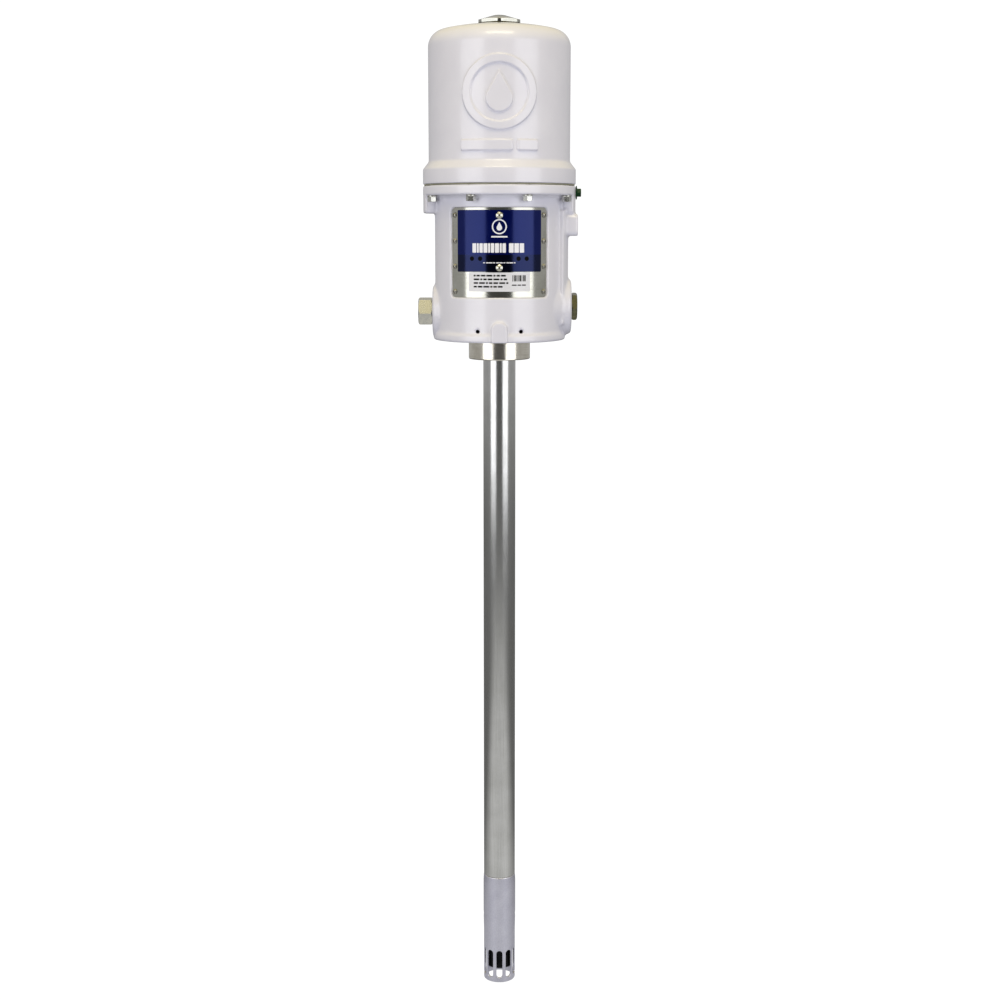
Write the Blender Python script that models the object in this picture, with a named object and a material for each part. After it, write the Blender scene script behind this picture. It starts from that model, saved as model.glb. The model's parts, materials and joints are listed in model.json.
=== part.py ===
"""A drum barrel pump: a piston air motor on a cast base, over a long riser tube with a foot valve.

The pump axis is +Z. The origin is on that axis, at the underside of the motor base, where the
bung adapter grips the tube. Every length below is in millimetres, and add_piece() turns the
finished shapes into metres.
"""

import math

import bmesh
import bpy
from mathutils import Matrix, Vector

MM = 0.001
GAP = 0.3  # clearance between pieces that touch on the real pump
INTO = 2.0  # how far a cutter runs past the face it opens
SMOOTH_ANGLE = math.radians(35)
ROUND, PIPE, ROD, SCREW = 32, 24, 12, 8  # sides of round shapes, from big to tiny
PANEL_STEP = 360 / ROUND  # angle between the folds of a panel bent round the axis
OFF_EDGE = 5.0  # turns a plain cylinder, so that its corners miss the edges of what it joins or cuts

# Motor base
BODY_R = 81.8
RIM_R = 83.6
FLANGE_R = 96.6
FLANGE_LOW, FLANGE_TOP = 181.0, 193.3
CHEST_R = 70.0  # exhaust chest inside the base
CHEST_FLOOR = 10.0
TOWER_R = 34.0  # wet section in the middle of the chest
DECK_TOP = 80.0
GALLERY_R, GALLERY_LOW, GALLERY_TOP = 24.0, 14.3, 54.0
BOTTOM_BORE_R = 30.3
COLLAR_SEAT_R, COLLAR_SEAT_Z = 41.0, 1.0  # shallow register in the underside for the riser collar
SEAL_POCKET_R, SEAL_POCKET_LOW, THROAT_R = 17.5, 62.0, 15.0
WALL_INSIDE_R = 76.0  # where the shapes added to the wall begin, inside it
LUG_LOW, LUG_HALF_ANGLE = 159.0, 17.0
DUCT_R, DUCT_HALF_ANGLE, DUCT_LOW = 87.6, 20.0, 30.0
ARCH_HALF_WIDTH, ARCH_LOW, ARCH_CENTRE_Z, ARCH_FACE_Y = 11.0, 2.0, 15.0, 84.6
AIR_Z, AIR_HALF_WIDTH, AIR_HALF_HEIGHT, AIR_FACE_X, AIR_BORE_R = 144.5, 27.0, 13.5, 98.9, 10.5
AIR_DUCT_X, AIR_DUCT_R = 78.5, 4.5
BOSS_ROOT_X = 72.0  # inside the wall
OUTLET_Z, OUTLET_BOSS_R, OUTLET_FACE_X = 36.0, 34.0, 85.0
PLUG_Z, PLUG_BOSS_R, PLUG_FACE_X = 42.0, 35.0, 91.6
PORT_SOCKET_R, PORT_SOCKET_X, PORT_BORE_R, PORT_ARM_R = 13.3, 70.0, 9.0, 18.0
ADAPTER_FLATS, ADAPTER_FACE_X, PLUG_FLATS, PLUG_HEAD_X = 31.75, 103.4, 32.0, 99.3
VENT_X, VENT_Z, VENT_R = 27.5, 14.0, 2.6
GROUND_Z, GROUND_SHANK_R, GROUND_LOW_X, GROUND_HEAD_X, GROUND_WASHER_R = 185.0, 3.0, 90.0, 103.4, 8.5

# Windows in the base and what covers them
RECESS_R = 78.0
WINDOW_HALF_ANGLE, WINDOW_LOW, WINDOW_HIGH, WINDOW_CORNER = 46.8, 54.0, 163.0, 6.0
OPENING_HALF_ANGLE, OPENING_LOW, OPENING_HIGH = 38.0, 86.0, 150.0
PLATE_THICK = 1.5
BADGE_HALF_ANGLE, BADGE_LOW, BADGE_HIGH, BADGE_THICK = 38.4, 86.0, 161.3, 0.8
LABEL_HALF_ANGLE, LABEL_LOW, LABEL_HIGH, LABEL_THICK = 28.0, 62.0, 85.4, 0.3
PLATE_SCREW_ANGLE, PLATE_SCREW_ROWS = 43.6, (155.4, 123.6, 92.5, 61.5)
REAR_SCREW_ROWS = (PLATE_SCREW_ROWS[0], PLATE_SCREW_ROWS[-1])
PLATE_SCREW_R, PLATE_HEAD_R, PLATE_HOLE_R, PLATE_HOLE_FROM_R = 1.5, 3.0, 1.8, 71.5
BADGE_SCREW_HEAD_R = 4.2
BADGE_SCREW_ROWS = {"top": 154.6, "bottom": 91.0}

# Cover, cylinder and cap nut
COVER_R, COVER_INNER_R, COVER_LOW = 89.2, 84.7, 195.2
SKIRT_TOP, SHOULDER_TOP = 213.5, 223.0
CORNER_R, CORNER_Z, CROWN_R, CROWN_TOP = 21.0, 363.2, 338.5, 391.6
SEAT_R, SEAT_Z = 24.0, 390.7
GASKET_INNER_R, GASKET_R = 86.5, 95.2
COVER_SCREW_CIRCLE, COVER_SCREW_R, COVER_SCREW_TOP = 90.5, 3.3, 207.0
COVER_SCREWS = 8
CYLINDER_BORE_R, CYLINDER_R = 54.0, 59.0
LOWER_PLATE_R, LOWER_PLATE_LOW, LOWER_PLATE_TOP = 85.6, 184.3, 193.9
HEAD_LOW, HEAD_TOP = 364.0, 372.0
NUT_POCKET_R = 17.0  # round the nut's shank, inside the crown
NUT_FLATS, NUT_TOP, NUT_SHANK_R, NUT_WASHER_R, NUT_WASHER_THICK = 42.0, 400.0, 9.7, 21.5, 1.0

# Motor piston, valve and rods, drawn at the bottom of the stroke
PISTON_LOW, PISTON_TOP = 205.0, 235.0
ROD_R, ROD_BORE_R, ROD_BORE_LOW, ROD_LOW = 12.5, 7.5, 85.0, -55.0
ROD_CLEARANCE = 0.4
ROD_VENT_Z, ROD_VENT_R = 89.0, 2.5
TRIP_ROD_R, TRIP_ROD_LOW, TRIP_ROD_TOP = 4.0, 223.0, 385.0
TRIP_NUT_R, TRIP_NUT_LOW, TRIP_NUT_TOP = 6.2, 226.0, 233.0
TRIP_COLLAR_R, TRIP_COLLAR_LOW, TRIP_COLLAR_TOP = 7.5, 358.5, 363.0
SHIFT_TRAVEL = 6.0
STEM_X, STEM_R = 26.0, 3.0
POPPET_R, POPPET_LOW, POPPET_THICK = 8.0, 203.0, 4.0
BAR_LOW, BAR_TOP, SPOOL_TOP = 236.0, 240.0, 249.5
HUB_R, HUB_BORE_R, SPOOL_FLANGE_R = 9.5, 4.8, 14.0
TOGGLE_PIVOT_Y, TOGGLE_PIVOT_Z = 32.0, 246.5
TOGGLE_REACH, TOGGLE_NOSE_R, TOGGLE_HALF_WIDTH = 18.0, 3.0, 4.5
TRUNNION_R, TRUNNION_HALF_LENGTH = 2.0, 9.0
CONNECTING_R = 6.35

# Riser tube, pump piston and foot valve
COLLAR_R, COLLAR_LOW, COLLAR_SPIGOT_R = 39.4, -24.7, 30.0
TUBE_R, TUBE_BORE_R, TUBE_LOW = 20.8, 17.8, -721.0
TUBE_THREAD_R, TUBE_END = 19.2, -738.0
CAGE_R, CAGE_BORE_R, CAGE_TOP, CAGE_LOW, CAGE_ROOF = 12.5, 9.5, -658.0, -694.0, -677.0
PUMP_PISTON_R, PUMP_PISTON_TOP, PUMP_PISTON_LOW = 17.1, -684.0, -722.0
PISTON_SEAT_R, PISTON_SEAT_Z, PISTON_BALL_R = 6.0, -698.0, 7.5
FOOT_R, FOOT_LOW, FOOT_MOUTH_R, FOOT_BORE_R = 21.0, -870.0, 18.4, 15.2
FOOT_BELLY_R, FOOT_BELLY_LOW, FOOT_BELLY_TOP = 21.5, -778.0, -730.0
SLOTS, SLOT_WIDTH, SLOT_LOW, SLOT_HIGH = 10, 8.0, -863.0, -825.0
INTAKE_SEAT_R, INTAKE_SEAT_Z, INTAKE_BALL_R = 8.0, -802.0, 9.5
SEAT_POCKET_R, SEAT_POCKET_LOW, SEAT_TUBE_R, SEAT_TUBE_LOW = 16.5, -817.0, 13.0, -845.0
STOP_PIN_R, STOP_PIN_Z = 2.5, -778.0

# Base colour, roughness and metallic value of each material
FINISHES = {
    "paint": ((0.76, 0.74, 0.77), 0.35, 0.0),
    "bare_steel": ((0.55, 0.54, 0.50), 0.30, 1.0),
    "stainless": ((0.45, 0.45, 0.41), 0.35, 1.0),
    "zinc": ((0.62, 0.60, 0.48), 0.35, 1.0),
    "chrome_rod": ((0.72, 0.73, 0.75), 0.12, 1.0),
    "aluminium": ((0.66, 0.67, 0.68), 0.40, 1.0),
    "brass": ((0.62, 0.47, 0.22), 0.30, 1.0),
    "badge_blue": ((0.01, 0.03, 0.20), 0.30, 0.0),
    "label_white": ((0.85, 0.85, 0.88), 0.50, 0.0),
    "rubber": ((0.03, 0.03, 0.03), 0.70, 0.0),
    "seal_plastic": ((0.80, 0.78, 0.70), 0.45, 0.0),
    "foam": ((0.25, 0.25, 0.26), 0.95, 0.0),
    "ground_green": ((0.01, 0.07, 0.03), 0.40, 0.0),
}


# Shapes: each returns a bmesh in millimetres


def arc(centre_r, centre_z, radius, start, end, steps):
    """Points along an arc in the profile plane; angles in degrees from the outward direction."""
    points = []
    for step in range(steps + 1):
        angle = math.radians(start + (end - start) * step / steps)
        points.append((centre_r + radius * math.cos(angle), centre_z + radius * math.sin(angle)))
    return points


def turned(profile, sides=ROUND):
    """Turns a closed (radius, height) outline round the Z axis. Points at radius 0 become poles."""
    bm = bmesh.new()
    columns = []
    poles = {}
    for side in range(sides):
        angle = 2 * math.pi * side / sides
        column = []
        for index, (radius, height) in enumerate(profile):
            if radius == 0:
                if index not in poles:
                    poles[index] = bm.verts.new((0, 0, height))
                column.append(poles[index])
            else:
                column.append(bm.verts.new((radius * math.sin(angle), -radius * math.cos(angle), height)))
        columns.append(column)
    for side in range(sides):
        left, right = columns[side], columns[(side + 1) % sides]
        for index in range(len(profile)):
            after = (index + 1) % len(profile)
            corners = []
            for corner in (left[index], right[index], right[after], left[after]):
                if corner not in corners:
                    corners.append(corner)
            if len(corners) > 2:
                bm.faces.new(corners)
    bmesh.ops.recalc_face_normals(bm, faces=bm.faces)
    return bm


def prism(outline, low, high):
    """Extrudes an (x, y) outline from z = low to z = high."""
    bm = bmesh.new()
    face = bm.faces.new([bm.verts.new((x, y, low)) for x, y in outline])
    extruded = bmesh.ops.extrude_face_region(bm, geom=[face])
    top = [item for item in extruded["geom"] if isinstance(item, bmesh.types.BMVert)]
    bmesh.ops.translate(bm, vec=(0, 0, high - low), verts=top)
    bmesh.ops.recalc_face_normals(bm, faces=bm.faces)
    return bm


def polygon(radius, sides, turn=0.0):
    """Corners of a regular polygon; the first one lies turn degrees from +X."""
    step = 2 * math.pi / sides
    return [
        (radius * math.cos(math.radians(turn) + step * i), radius * math.sin(math.radians(turn) + step * i))
        for i in range(sides)
    ]


def rounded_rectangle(half_x, low_y, high_y, corner, steps=2):
    points = []
    for centre_x, centre_y, start in (
        (half_x - corner, high_y - corner, 0),
        (corner - half_x, high_y - corner, 90),
        (corner - half_x, low_y + corner, 180),
        (half_x - corner, low_y + corner, 270),
    ):
        points += arc(centre_x, centre_y, corner, start, start + 90, steps)
    return points


def cylinder(radius, low, high, sides=ROD):
    return prism(polygon(radius, sides, OFF_EDGE), low, high)


def box(low, high):
    outline = [(low[0], low[1]), (high[0], low[1]), (high[0], high[1]), (low[0], high[1])]
    return prism(outline, low[2], high[2])


def hexagon(flats, low, high, crown, turn=0.0):
    """A hexagonal head whose top edges are chamfered by crown."""
    radius = flats / math.sqrt(3)
    bm = prism(polygon(radius, 6, turn), low, high)
    top = [edge for edge in bm.edges if min(v.co.z for v in edge.verts) > high - 1e-4]
    bmesh.ops.bevel(bm, geom=top, offset=crown, segments=1, profile=0.5, affect="EDGES")
    return bm


def wrapped(half_angle, low, high, corner, inner_r, outer_r, facing=0.0):
    """A rounded panel bent round the Z axis; facing 0 is the front, -Y, and 90 is +X."""
    bm = bmesh.new()
    middle_r = (inner_r + outer_r) / 2
    corner_angle = math.degrees(corner / middle_r)
    scale = corner / corner_angle
    outline = rounded_rectangle(half_angle * scale, low, high, corner)
    bm.faces.new([bm.verts.new((u / scale, 0, z)) for u, z in outline])
    for index in range(math.ceil(half_angle / PANEL_STEP - 0.5)):
        for at in (-(index + 0.5) * PANEL_STEP, (index + 0.5) * PANEL_STEP):
            geometry = bm.verts[:] + bm.edges[:] + bm.faces[:]
            bmesh.ops.bisect_plane(bm, geom=geometry, plane_co=(at, 0, 0), plane_no=(1, 0, 0))
    extruded = bmesh.ops.extrude_face_region(bm, geom=bm.faces[:])
    outside = {item for item in extruded["geom"] if isinstance(item, bmesh.types.BMVert)}
    for vert in bm.verts:
        angle = math.radians(vert.co.x + facing)
        radius = outer_r if vert in outside else inner_r
        vert.co = Vector((radius * math.sin(angle), -radius * math.cos(angle), vert.co.z))
    bmesh.ops.recalc_face_normals(bm, faces=bm.faces)
    return bm


def ball(radius, centre, sides=ROD):
    bm = bmesh.new()
    bmesh.ops.create_uvsphere(bm, u_segments=sides, v_segments=sides // 2, radius=radius)
    bmesh.ops.translate(bm, vec=centre, verts=bm.verts)
    return bm


def merged(shapes):
    """One bmesh that holds every shape in the list."""
    total = bmesh.new()
    for shape in shapes:
        mesh = bpy.data.meshes.new("scratch")
        shape.to_mesh(mesh)
        shape.free()
        total.from_mesh(mesh)
        bpy.data.meshes.remove(mesh)
    return total


def moved(shape, matrix):
    shape.transform(matrix)
    return shape


def along_x(shape, sign=1, y=0.0, z=0.0):
    """Lays a shape made along +Z on the X axis, towards +X or -X, through (y, z)."""
    turn = Matrix.Rotation(math.radians(90 * sign), 4, "Y")
    return moved(shape, Matrix.Translation((0, y, z)) @ turn)


def radial(shape, angle, z):
    """Points a shape made along +Z outwards at an angle from the front, at height z."""
    outward = Matrix.Rotation(math.radians(90), 4, "X")
    around = Matrix.Rotation(math.radians(angle), 4, "Z")
    return moved(shape, Matrix.Translation((0, 0, z)) @ around @ outward)


# Objects


def finish_material(finish):
    colour, roughness, metallic = FINISHES[finish]
    material = bpy.data.materials.new(finish)
    material.use_nodes = True
    shader = material.node_tree.nodes["Principled BSDF"]
    shader.inputs["Base Color"].default_value = (*colour, 1.0)
    shader.inputs["Roughness"].default_value = roughness
    shader.inputs["Metallic"].default_value = metallic
    return material


def make_mesh(name, shape):
    mesh = bpy.data.meshes.new(name)
    shape.transform(Matrix.Scale(MM, 4))
    shape.to_mesh(mesh)
    shape.free()
    mesh.shade_smooth()
    mesh.set_sharp_from_angle(angle=SMOOTH_ANGLE)
    return mesh


def add_object(name, mesh, location=(0, 0, 0), turn_z=0.0, parent=None):
    thing = bpy.data.objects.new(name, mesh)
    thing.location = Vector(location) * MM
    thing.rotation_euler = (0, 0, math.radians(turn_z))
    thing.parent = parent
    bpy.context.scene.collection.objects.link(thing)
    return thing


def add_piece(name, shape, finish, location=(0, 0, 0), parent=None):
    mesh = make_mesh(name, shape)
    mesh.materials.append(finish_material(finish))
    return add_object(name, mesh, location, parent=parent)


def combine(piece, operation, shapes):
    """Joins shapes to a piece (UNION) or cuts them out of it (DIFFERENCE), all at once."""
    guides = bpy.data.collections.new(f"{piece.name}_{operation.lower()}")
    guides.hide_render = True
    bpy.context.scene.collection.children.link(guides)
    for number, shape in enumerate(shapes):
        guide = bpy.data.objects.new(f"{guides.name}_{number}", make_mesh(guides.name, shape))
        guide.location = piece.location
        guide.parent = piece.parent
        guide.hide_render = True
        guide.display_type = "WIRE"
        guides.objects.link(guide)
    modifier = piece.modifiers.new(guides.name, "BOOLEAN")
    modifier.operation = operation
    modifier.operand_type = "COLLECTION"
    modifier.collection = guides


def pivot(name, location, parent=None):
    """An empty on a joint's axis, which carries the moving pieces; location is from its parent."""
    return add_object(name, None, location, parent=parent)


def cover_screw_angles():
    return [360 / COVER_SCREWS * (index + 0.5) for index in range(COVER_SCREWS)]


def on_cover_screw_circle(make):
    """One shape, made along Z, at each cover screw."""
    shapes = []
    for angle in cover_screw_angles():
        around = Matrix.Rotation(math.radians(angle), 4, "Z")
        shapes.append(moved(make(), around @ Matrix.Translation((0, -COVER_SCREW_CIRCLE, 0))))
    return merged(shapes)


# Motor base and the pieces fastened to its outside


def base_profile():
    counterbore_r, ledge = LOWER_PLATE_R + GAP, LOWER_PLATE_LOW - GAP
    rim_top, chamfer, fillet = 9.0, 1.2, 3.0
    return [
        (BOTTOM_BORE_R, COLLAR_SEAT_Z), (COLLAR_SEAT_R, COLLAR_SEAT_Z), (COLLAR_SEAT_R, 0.0),
        (RIM_R - fillet, 0.0), (RIM_R - 0.8, 1.4), (RIM_R, 4.0), (RIM_R, rim_top),
        (BODY_R, rim_top + fillet), (BODY_R, FLANGE_LOW - fillet), (BODY_R + 2.0, FLANGE_LOW),
        (FLANGE_R, FLANGE_LOW), (FLANGE_R, FLANGE_TOP - chamfer), (FLANGE_R - chamfer, FLANGE_TOP),
        (counterbore_r, FLANGE_TOP), (counterbore_r, ledge), (CHEST_R, ledge),
        (CHEST_R, CHEST_FLOOR), (TOWER_R, CHEST_FLOOR), (TOWER_R, DECK_TOP), (SEAL_POCKET_R, DECK_TOP),
        (SEAL_POCKET_R, SEAL_POCKET_LOW), (THROAT_R, SEAL_POCKET_LOW), (THROAT_R, GALLERY_TOP),
        (GALLERY_R, GALLERY_TOP), (GALLERY_R, GALLERY_LOW), (BOTTOM_BORE_R, GALLERY_LOW),
    ]


def boss(radius, face_x, sign, z):
    """A round boss on the side of the body, with a chamfered face."""
    chamfer = 5.0
    profile = [
        (0, BOSS_ROOT_X), (radius, BOSS_ROOT_X), (radius, face_x - chamfer), (radius - chamfer, face_x),
        (0, face_x),
    ]
    return along_x(turned(profile, ROD), sign, z=z)


def lug(facing):
    corner, within_flange = 1.0, 0.05
    return wrapped(
        LUG_HALF_ANGLE, LUG_LOW, FLANGE_LOW + 1.0, corner, WALL_INSIDE_R, FLANGE_R - within_flange, facing
    )


def front_arch():
    """The inverted-U boss low on the front of the body."""
    outline = [(ARCH_HALF_WIDTH, ARCH_LOW)]
    outline += arc(0, ARCH_CENTRE_Z, ARCH_HALF_WIDTH, 0, 180, 6)
    outline.append((-ARCH_HALF_WIDTH, ARCH_LOW))
    return moved(prism(outline, RECESS_R, ARCH_FACE_Y), upright_turn())


def window_cuts(facing):
    recess = wrapped(
        WINDOW_HALF_ANGLE, WINDOW_LOW, WINDOW_HIGH, WINDOW_CORNER, RECESS_R, BODY_R + 2 * INTO, facing
    )
    opening = wrapped(
        OPENING_HALF_ANGLE, OPENING_LOW, OPENING_HIGH, WINDOW_CORNER, CHEST_R - 2 * INTO, RECESS_R + 1.0,
        facing,
    )
    return [opening, recess]


def plate_screw_places(rows, facing=0.0):
    return [(facing + side * PLATE_SCREW_ANGLE, z) for side in (-1, 1) for z in rows]


def plate_screw_holes(places):
    end_r = BODY_R + INTO
    return merged([
        radial(cylinder(PLATE_HOLE_R, PLATE_HOLE_FROM_R, end_r, SCREW), angle, z) for angle, z in places
    ])


def make_motor_base():
    base = add_piece("motor_base", turned(base_profile()), "paint")
    air_outline = rounded_rectangle(AIR_HALF_HEIGHT, -AIR_HALF_WIDTH, AIR_HALF_WIDTH, 5.0)
    arm_low, arm_reach = TOWER_R - 5.0, CHEST_R + INTO
    combine(base, "UNION", [
        wrapped(DUCT_HALF_ANGLE, DUCT_LOW, LUG_LOW + INTO, 1.0, WALL_INSIDE_R, DUCT_R, 90.0),
        lug(90.0),
        lug(-90.0),
        along_x(prism(air_outline, BOSS_ROOT_X, AIR_FACE_X), z=AIR_Z),
        boss(OUTLET_BOSS_R, OUTLET_FACE_X, -1, OUTLET_Z),
        boss(PLUG_BOSS_R, PLUG_FACE_X, 1, PLUG_Z),
        along_x(cylinder(PORT_ARM_R, arm_low, arm_reach), -1, z=OUTLET_Z),
        along_x(cylinder(PORT_ARM_R, arm_low, arm_reach), 1, z=PLUG_Z),
        front_arch(),
    ])
    ports = []
    for sign, z, face in ((-1, OUTLET_Z, OUTLET_FACE_X), (1, PLUG_Z, PLUG_FACE_X)):
        ports.append(along_x(cylinder(PORT_BORE_R, GALLERY_R - INTO, PORT_SOCKET_X + 1.0), sign, z=z))
        ports.append(along_x(cylinder(PORT_SOCKET_R, PORT_SOCKET_X, face + INTO), sign, z=z))
    vent_from, vent_to = CHEST_R - 10.0, RIM_R + 3 * INTO
    vents = [
        moved(cylinder(VENT_R, vent_from, vent_to, SCREW), Matrix.Translation((x, 0, VENT_Z)) @ upright_turn())
        for x in (-VENT_X, VENT_X)
    ]
    air_passage = [
        along_x(cylinder(AIR_BORE_R, AIR_DUCT_X - 1.5, AIR_FACE_X + INTO), z=AIR_Z),
        moved(cylinder(AIR_DUCT_R, AIR_Z, FLANGE_TOP, SCREW), Matrix.Translation((AIR_DUCT_X, 0, 0))),
    ]
    hole_low, hole_high = FLANGE_LOW - 11.0, FLANGE_TOP + INTO
    screw_holes = [
        on_cover_screw_circle(lambda: cylinder(COVER_SCREW_R + GAP, hole_low, hole_high, SCREW)),
        plate_screw_holes(plate_screw_places(PLATE_SCREW_ROWS)),
        plate_screw_holes(plate_screw_places(REAR_SCREW_ROWS, 180.0)),
        along_x(cylinder(GROUND_SHANK_R + GAP, GROUND_LOW_X - 1.0, FLANGE_R + INTO, SCREW), z=GROUND_Z),
    ]
    combine(base, "DIFFERENCE", (
        window_cuts(0.0) + window_cuts(180.0) + ports + vents + air_passage + screw_holes
    ))


def upright_turn():
    """Turns a shape made along +Z to point forwards, along -Y."""
    return Matrix.Rotation(math.radians(90), 4, "X")


def make_window_plates():
    plate_inner = RECESS_R + GAP
    margin = 0.4
    for name, facing, rows in (("front_plate", 0.0, PLATE_SCREW_ROWS), ("rear_plate", 180.0, REAR_SCREW_ROWS)):
        plate = add_piece(name, wrapped(
            WINDOW_HALF_ANGLE - margin, WINDOW_LOW + margin, WINDOW_HIGH - margin, WINDOW_CORNER - margin,
            plate_inner, plate_inner + PLATE_THICK, facing,
        ), "stainless")
        holes = [plate_screw_holes(plate_screw_places(rows, facing))]
        if facing == 0.0:
            holes.append(badge_screw_holes())
        combine(plate, "DIFFERENCE", holes)
    on_plate = plate_inner + PLATE_THICK + GAP
    badge_corner, label_corner = 1.5, 0.6
    badge = add_piece("name_badge", wrapped(
        BADGE_HALF_ANGLE, BADGE_LOW, BADGE_HIGH, badge_corner, on_plate, on_plate + BADGE_THICK,
    ), "badge_blue")
    combine(badge, "DIFFERENCE", [badge_screw_holes()])
    add_piece("spec_label", wrapped(
        LABEL_HALF_ANGLE, LABEL_LOW, LABEL_HIGH, label_corner, on_plate, on_plate + LABEL_THICK,
    ), "label_white")
    screw_length, rivet_length = 7.0, 2.9
    screw = make_mesh("plate_screw", round_head_screw(PLATE_HEAD_R, PLATE_SCREW_R, screw_length))
    screw.materials.append(finish_material("zinc"))
    front = plate_screw_places(PLATE_SCREW_ROWS)
    rear = plate_screw_places(REAR_SCREW_ROWS, 180.0)
    for prefix, places in (("plate_screw", front), ("rear_plate_screw", rear)):
        for number, (angle, z) in enumerate(places, start=1):
            add_radial_copy(f"{prefix}_{number}", screw, angle, z, on_plate)
    rivet = make_mesh("badge_screw", round_head_screw(BADGE_SCREW_HEAD_R, PLATE_SCREW_R, rivet_length))
    rivet.materials.append(finish_material("stainless"))
    for row, z in BADGE_SCREW_ROWS.items():
        add_radial_copy(f"badge_screw_{row}", rivet, 0.0, z, on_plate + BADGE_THICK + GAP)


def badge_screw_holes():
    end_r = BODY_R + INTO
    return merged([
        radial(cylinder(PLATE_HOLE_R, CHEST_R + 2 * INTO, end_r, SCREW), 0, z)
        for z in BADGE_SCREW_ROWS.values()
    ])


def round_head_screw(head_r, shank_r, length):
    """A round-headed screw along +Z, with the underside of its head at z = 0."""
    head_height, steps = 2.0, 3
    sphere = (head_r**2 + head_height**2) / (2 * head_height)
    dome = []
    for step in range(steps):
        angle = math.asin(head_r / sphere) * (1 - step / steps)
        dome.append((sphere * math.sin(angle), sphere * math.cos(angle) + head_height - sphere))
    return turned([(0, -length), (shank_r, -length), (shank_r, 0)] + dome + [(0, head_height)], SCREW)


def add_radial_copy(name, mesh, angle, z, seat_r):
    """A copy of a shape made along +Z that points outwards from radius seat_r."""
    turn = math.radians(angle)
    thing = add_object(name, mesh, (seat_r * math.sin(turn), -seat_r * math.cos(turn), z))
    thing.rotation_euler = (math.radians(90), 0, turn)
    return thing


def make_base_fittings():
    crown, shank_r, shank_low = 1.6, PORT_SOCKET_R - GAP, PORT_SOCKET_X + GAP
    hex_low = OUTLET_FACE_X + GAP
    head = hexagon(ADAPTER_FLATS, hex_low, ADAPTER_FACE_X, crown, 30.0)
    adapter = add_piece("outlet_adapter", along_x(head, -1, z=OUTLET_Z), "zinc")
    combine(adapter, "UNION", [along_x(cylinder(shank_r, shank_low, hex_low + 1.0), -1, z=OUTLET_Z)])
    bore = cylinder(PORT_BORE_R, shank_low - INTO, ADAPTER_FACE_X + INTO)
    combine(adapter, "DIFFERENCE", [along_x(bore, -1, z=OUTLET_Z)])
    plug_low = PLUG_FACE_X + GAP
    head = hexagon(PLUG_FLATS, plug_low, PLUG_HEAD_X, crown, 30.0)
    plug = add_piece("port_plug", along_x(head, 1, z=PLUG_Z), "bare_steel")
    combine(plug, "UNION", [along_x(cylinder(shank_r, shank_low, plug_low + 1.0), 1, z=PLUG_Z)])
    washer_x = FLANGE_R + GAP
    dome_x, dome_r = washer_x + 2.0, 5.6
    ground = turned([
        (0, GROUND_LOW_X), (GROUND_SHANK_R, GROUND_LOW_X), (GROUND_SHANK_R, washer_x),
        (GROUND_WASHER_R, washer_x), (GROUND_WASHER_R, washer_x + 1.2), (dome_r, dome_x), (0, dome_x),
    ], SCREW)
    screw = add_piece("ground_screw", along_x(ground, z=GROUND_Z), "ground_green")
    head = hexagon(10.0, dome_x - 0.5, GROUND_HEAD_X, 0.6, 30.0)
    combine(screw, "UNION", [along_x(head, z=GROUND_Z)])


# Cover, power cylinder and what closes them


def cover_profile():
    """The cover's section: skirt, flared shoulder, wall, rounded corner and shallow crown."""
    crown_angle = math.degrees(math.asin((COVER_R - CORNER_R) / (CROWN_R - CORNER_R)))
    crown_start = 90 - crown_angle
    seat_angle = math.degrees(math.acos(SEAT_R / CROWN_R))
    corner_inner = CORNER_R - (COVER_R - COVER_INNER_R)
    outside = (
        [(FLANGE_R - 0.8, COVER_LOW), (FLANGE_R, COVER_LOW + 0.8), (FLANGE_R, SKIRT_TOP - 1.0)]
        + [(FLANGE_R - 0.9, SKIRT_TOP + 1.2), (COVER_R + 1.8, SHOULDER_TOP - 3.0)]
        + [(COVER_R + 0.4, SHOULDER_TOP - 0.8), (COVER_R, SHOULDER_TOP + 1.5)]
        + arc(COVER_R - CORNER_R, CORNER_Z, CORNER_R, 0, crown_start, 5)
        + arc(0, CROWN_TOP - CROWN_R, CROWN_R, crown_start + 1.6, seat_angle, 2)
        + [(NUT_SHANK_R + GAP, SEAT_Z)]
    )
    inside = (
        [(NUT_SHANK_R + GAP, HEAD_TOP + GAP), (NUT_POCKET_R, HEAD_TOP + GAP), (NUT_POCKET_R, SEAT_Z - 5.5)]
        + arc(COVER_R - CORNER_R, CORNER_Z, corner_inner, crown_start, 0, 3)
        + [(COVER_INNER_R, COVER_LOW)]
    )
    return outside + inside


def make_cover():
    cover = add_piece("air_cylinder_cover", turned(cover_profile()), "paint")
    combine(cover, "DIFFERENCE", [
        on_cover_screw_circle(
            lambda: cylinder(COVER_SCREW_R + GAP, COVER_LOW - INTO, COVER_SCREW_TOP + INTO, SCREW)
        ),
    ])
    gasket_low = FLANGE_TOP + GAP
    gasket_high = COVER_LOW - GAP
    gasket = add_piece("cover_gasket", turned([
        (GASKET_INNER_R, gasket_low), (GASKET_R, gasket_low), (GASKET_R, gasket_high),
        (GASKET_INNER_R, gasket_high),
    ], PIPE), "rubber")
    combine(gasket, "DIFFERENCE", [
        on_cover_screw_circle(
            lambda: cylinder(COVER_SCREW_R + GAP, FLANGE_TOP - INTO, COVER_LOW + INTO, SCREW)
        ),
    ])
    screw = make_mesh("cover_screw", cover_screw_shape())
    screw.materials.append(finish_material("zinc"))
    for number, angle in enumerate(cover_screw_angles(), start=1):
        turn = math.radians(angle)
        at = (COVER_SCREW_CIRCLE * math.sin(turn), -COVER_SCREW_CIRCLE * math.cos(turn), FLANGE_LOW - GAP)
        add_object(f"cover_screw_{number}", screw, at, angle)


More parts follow.
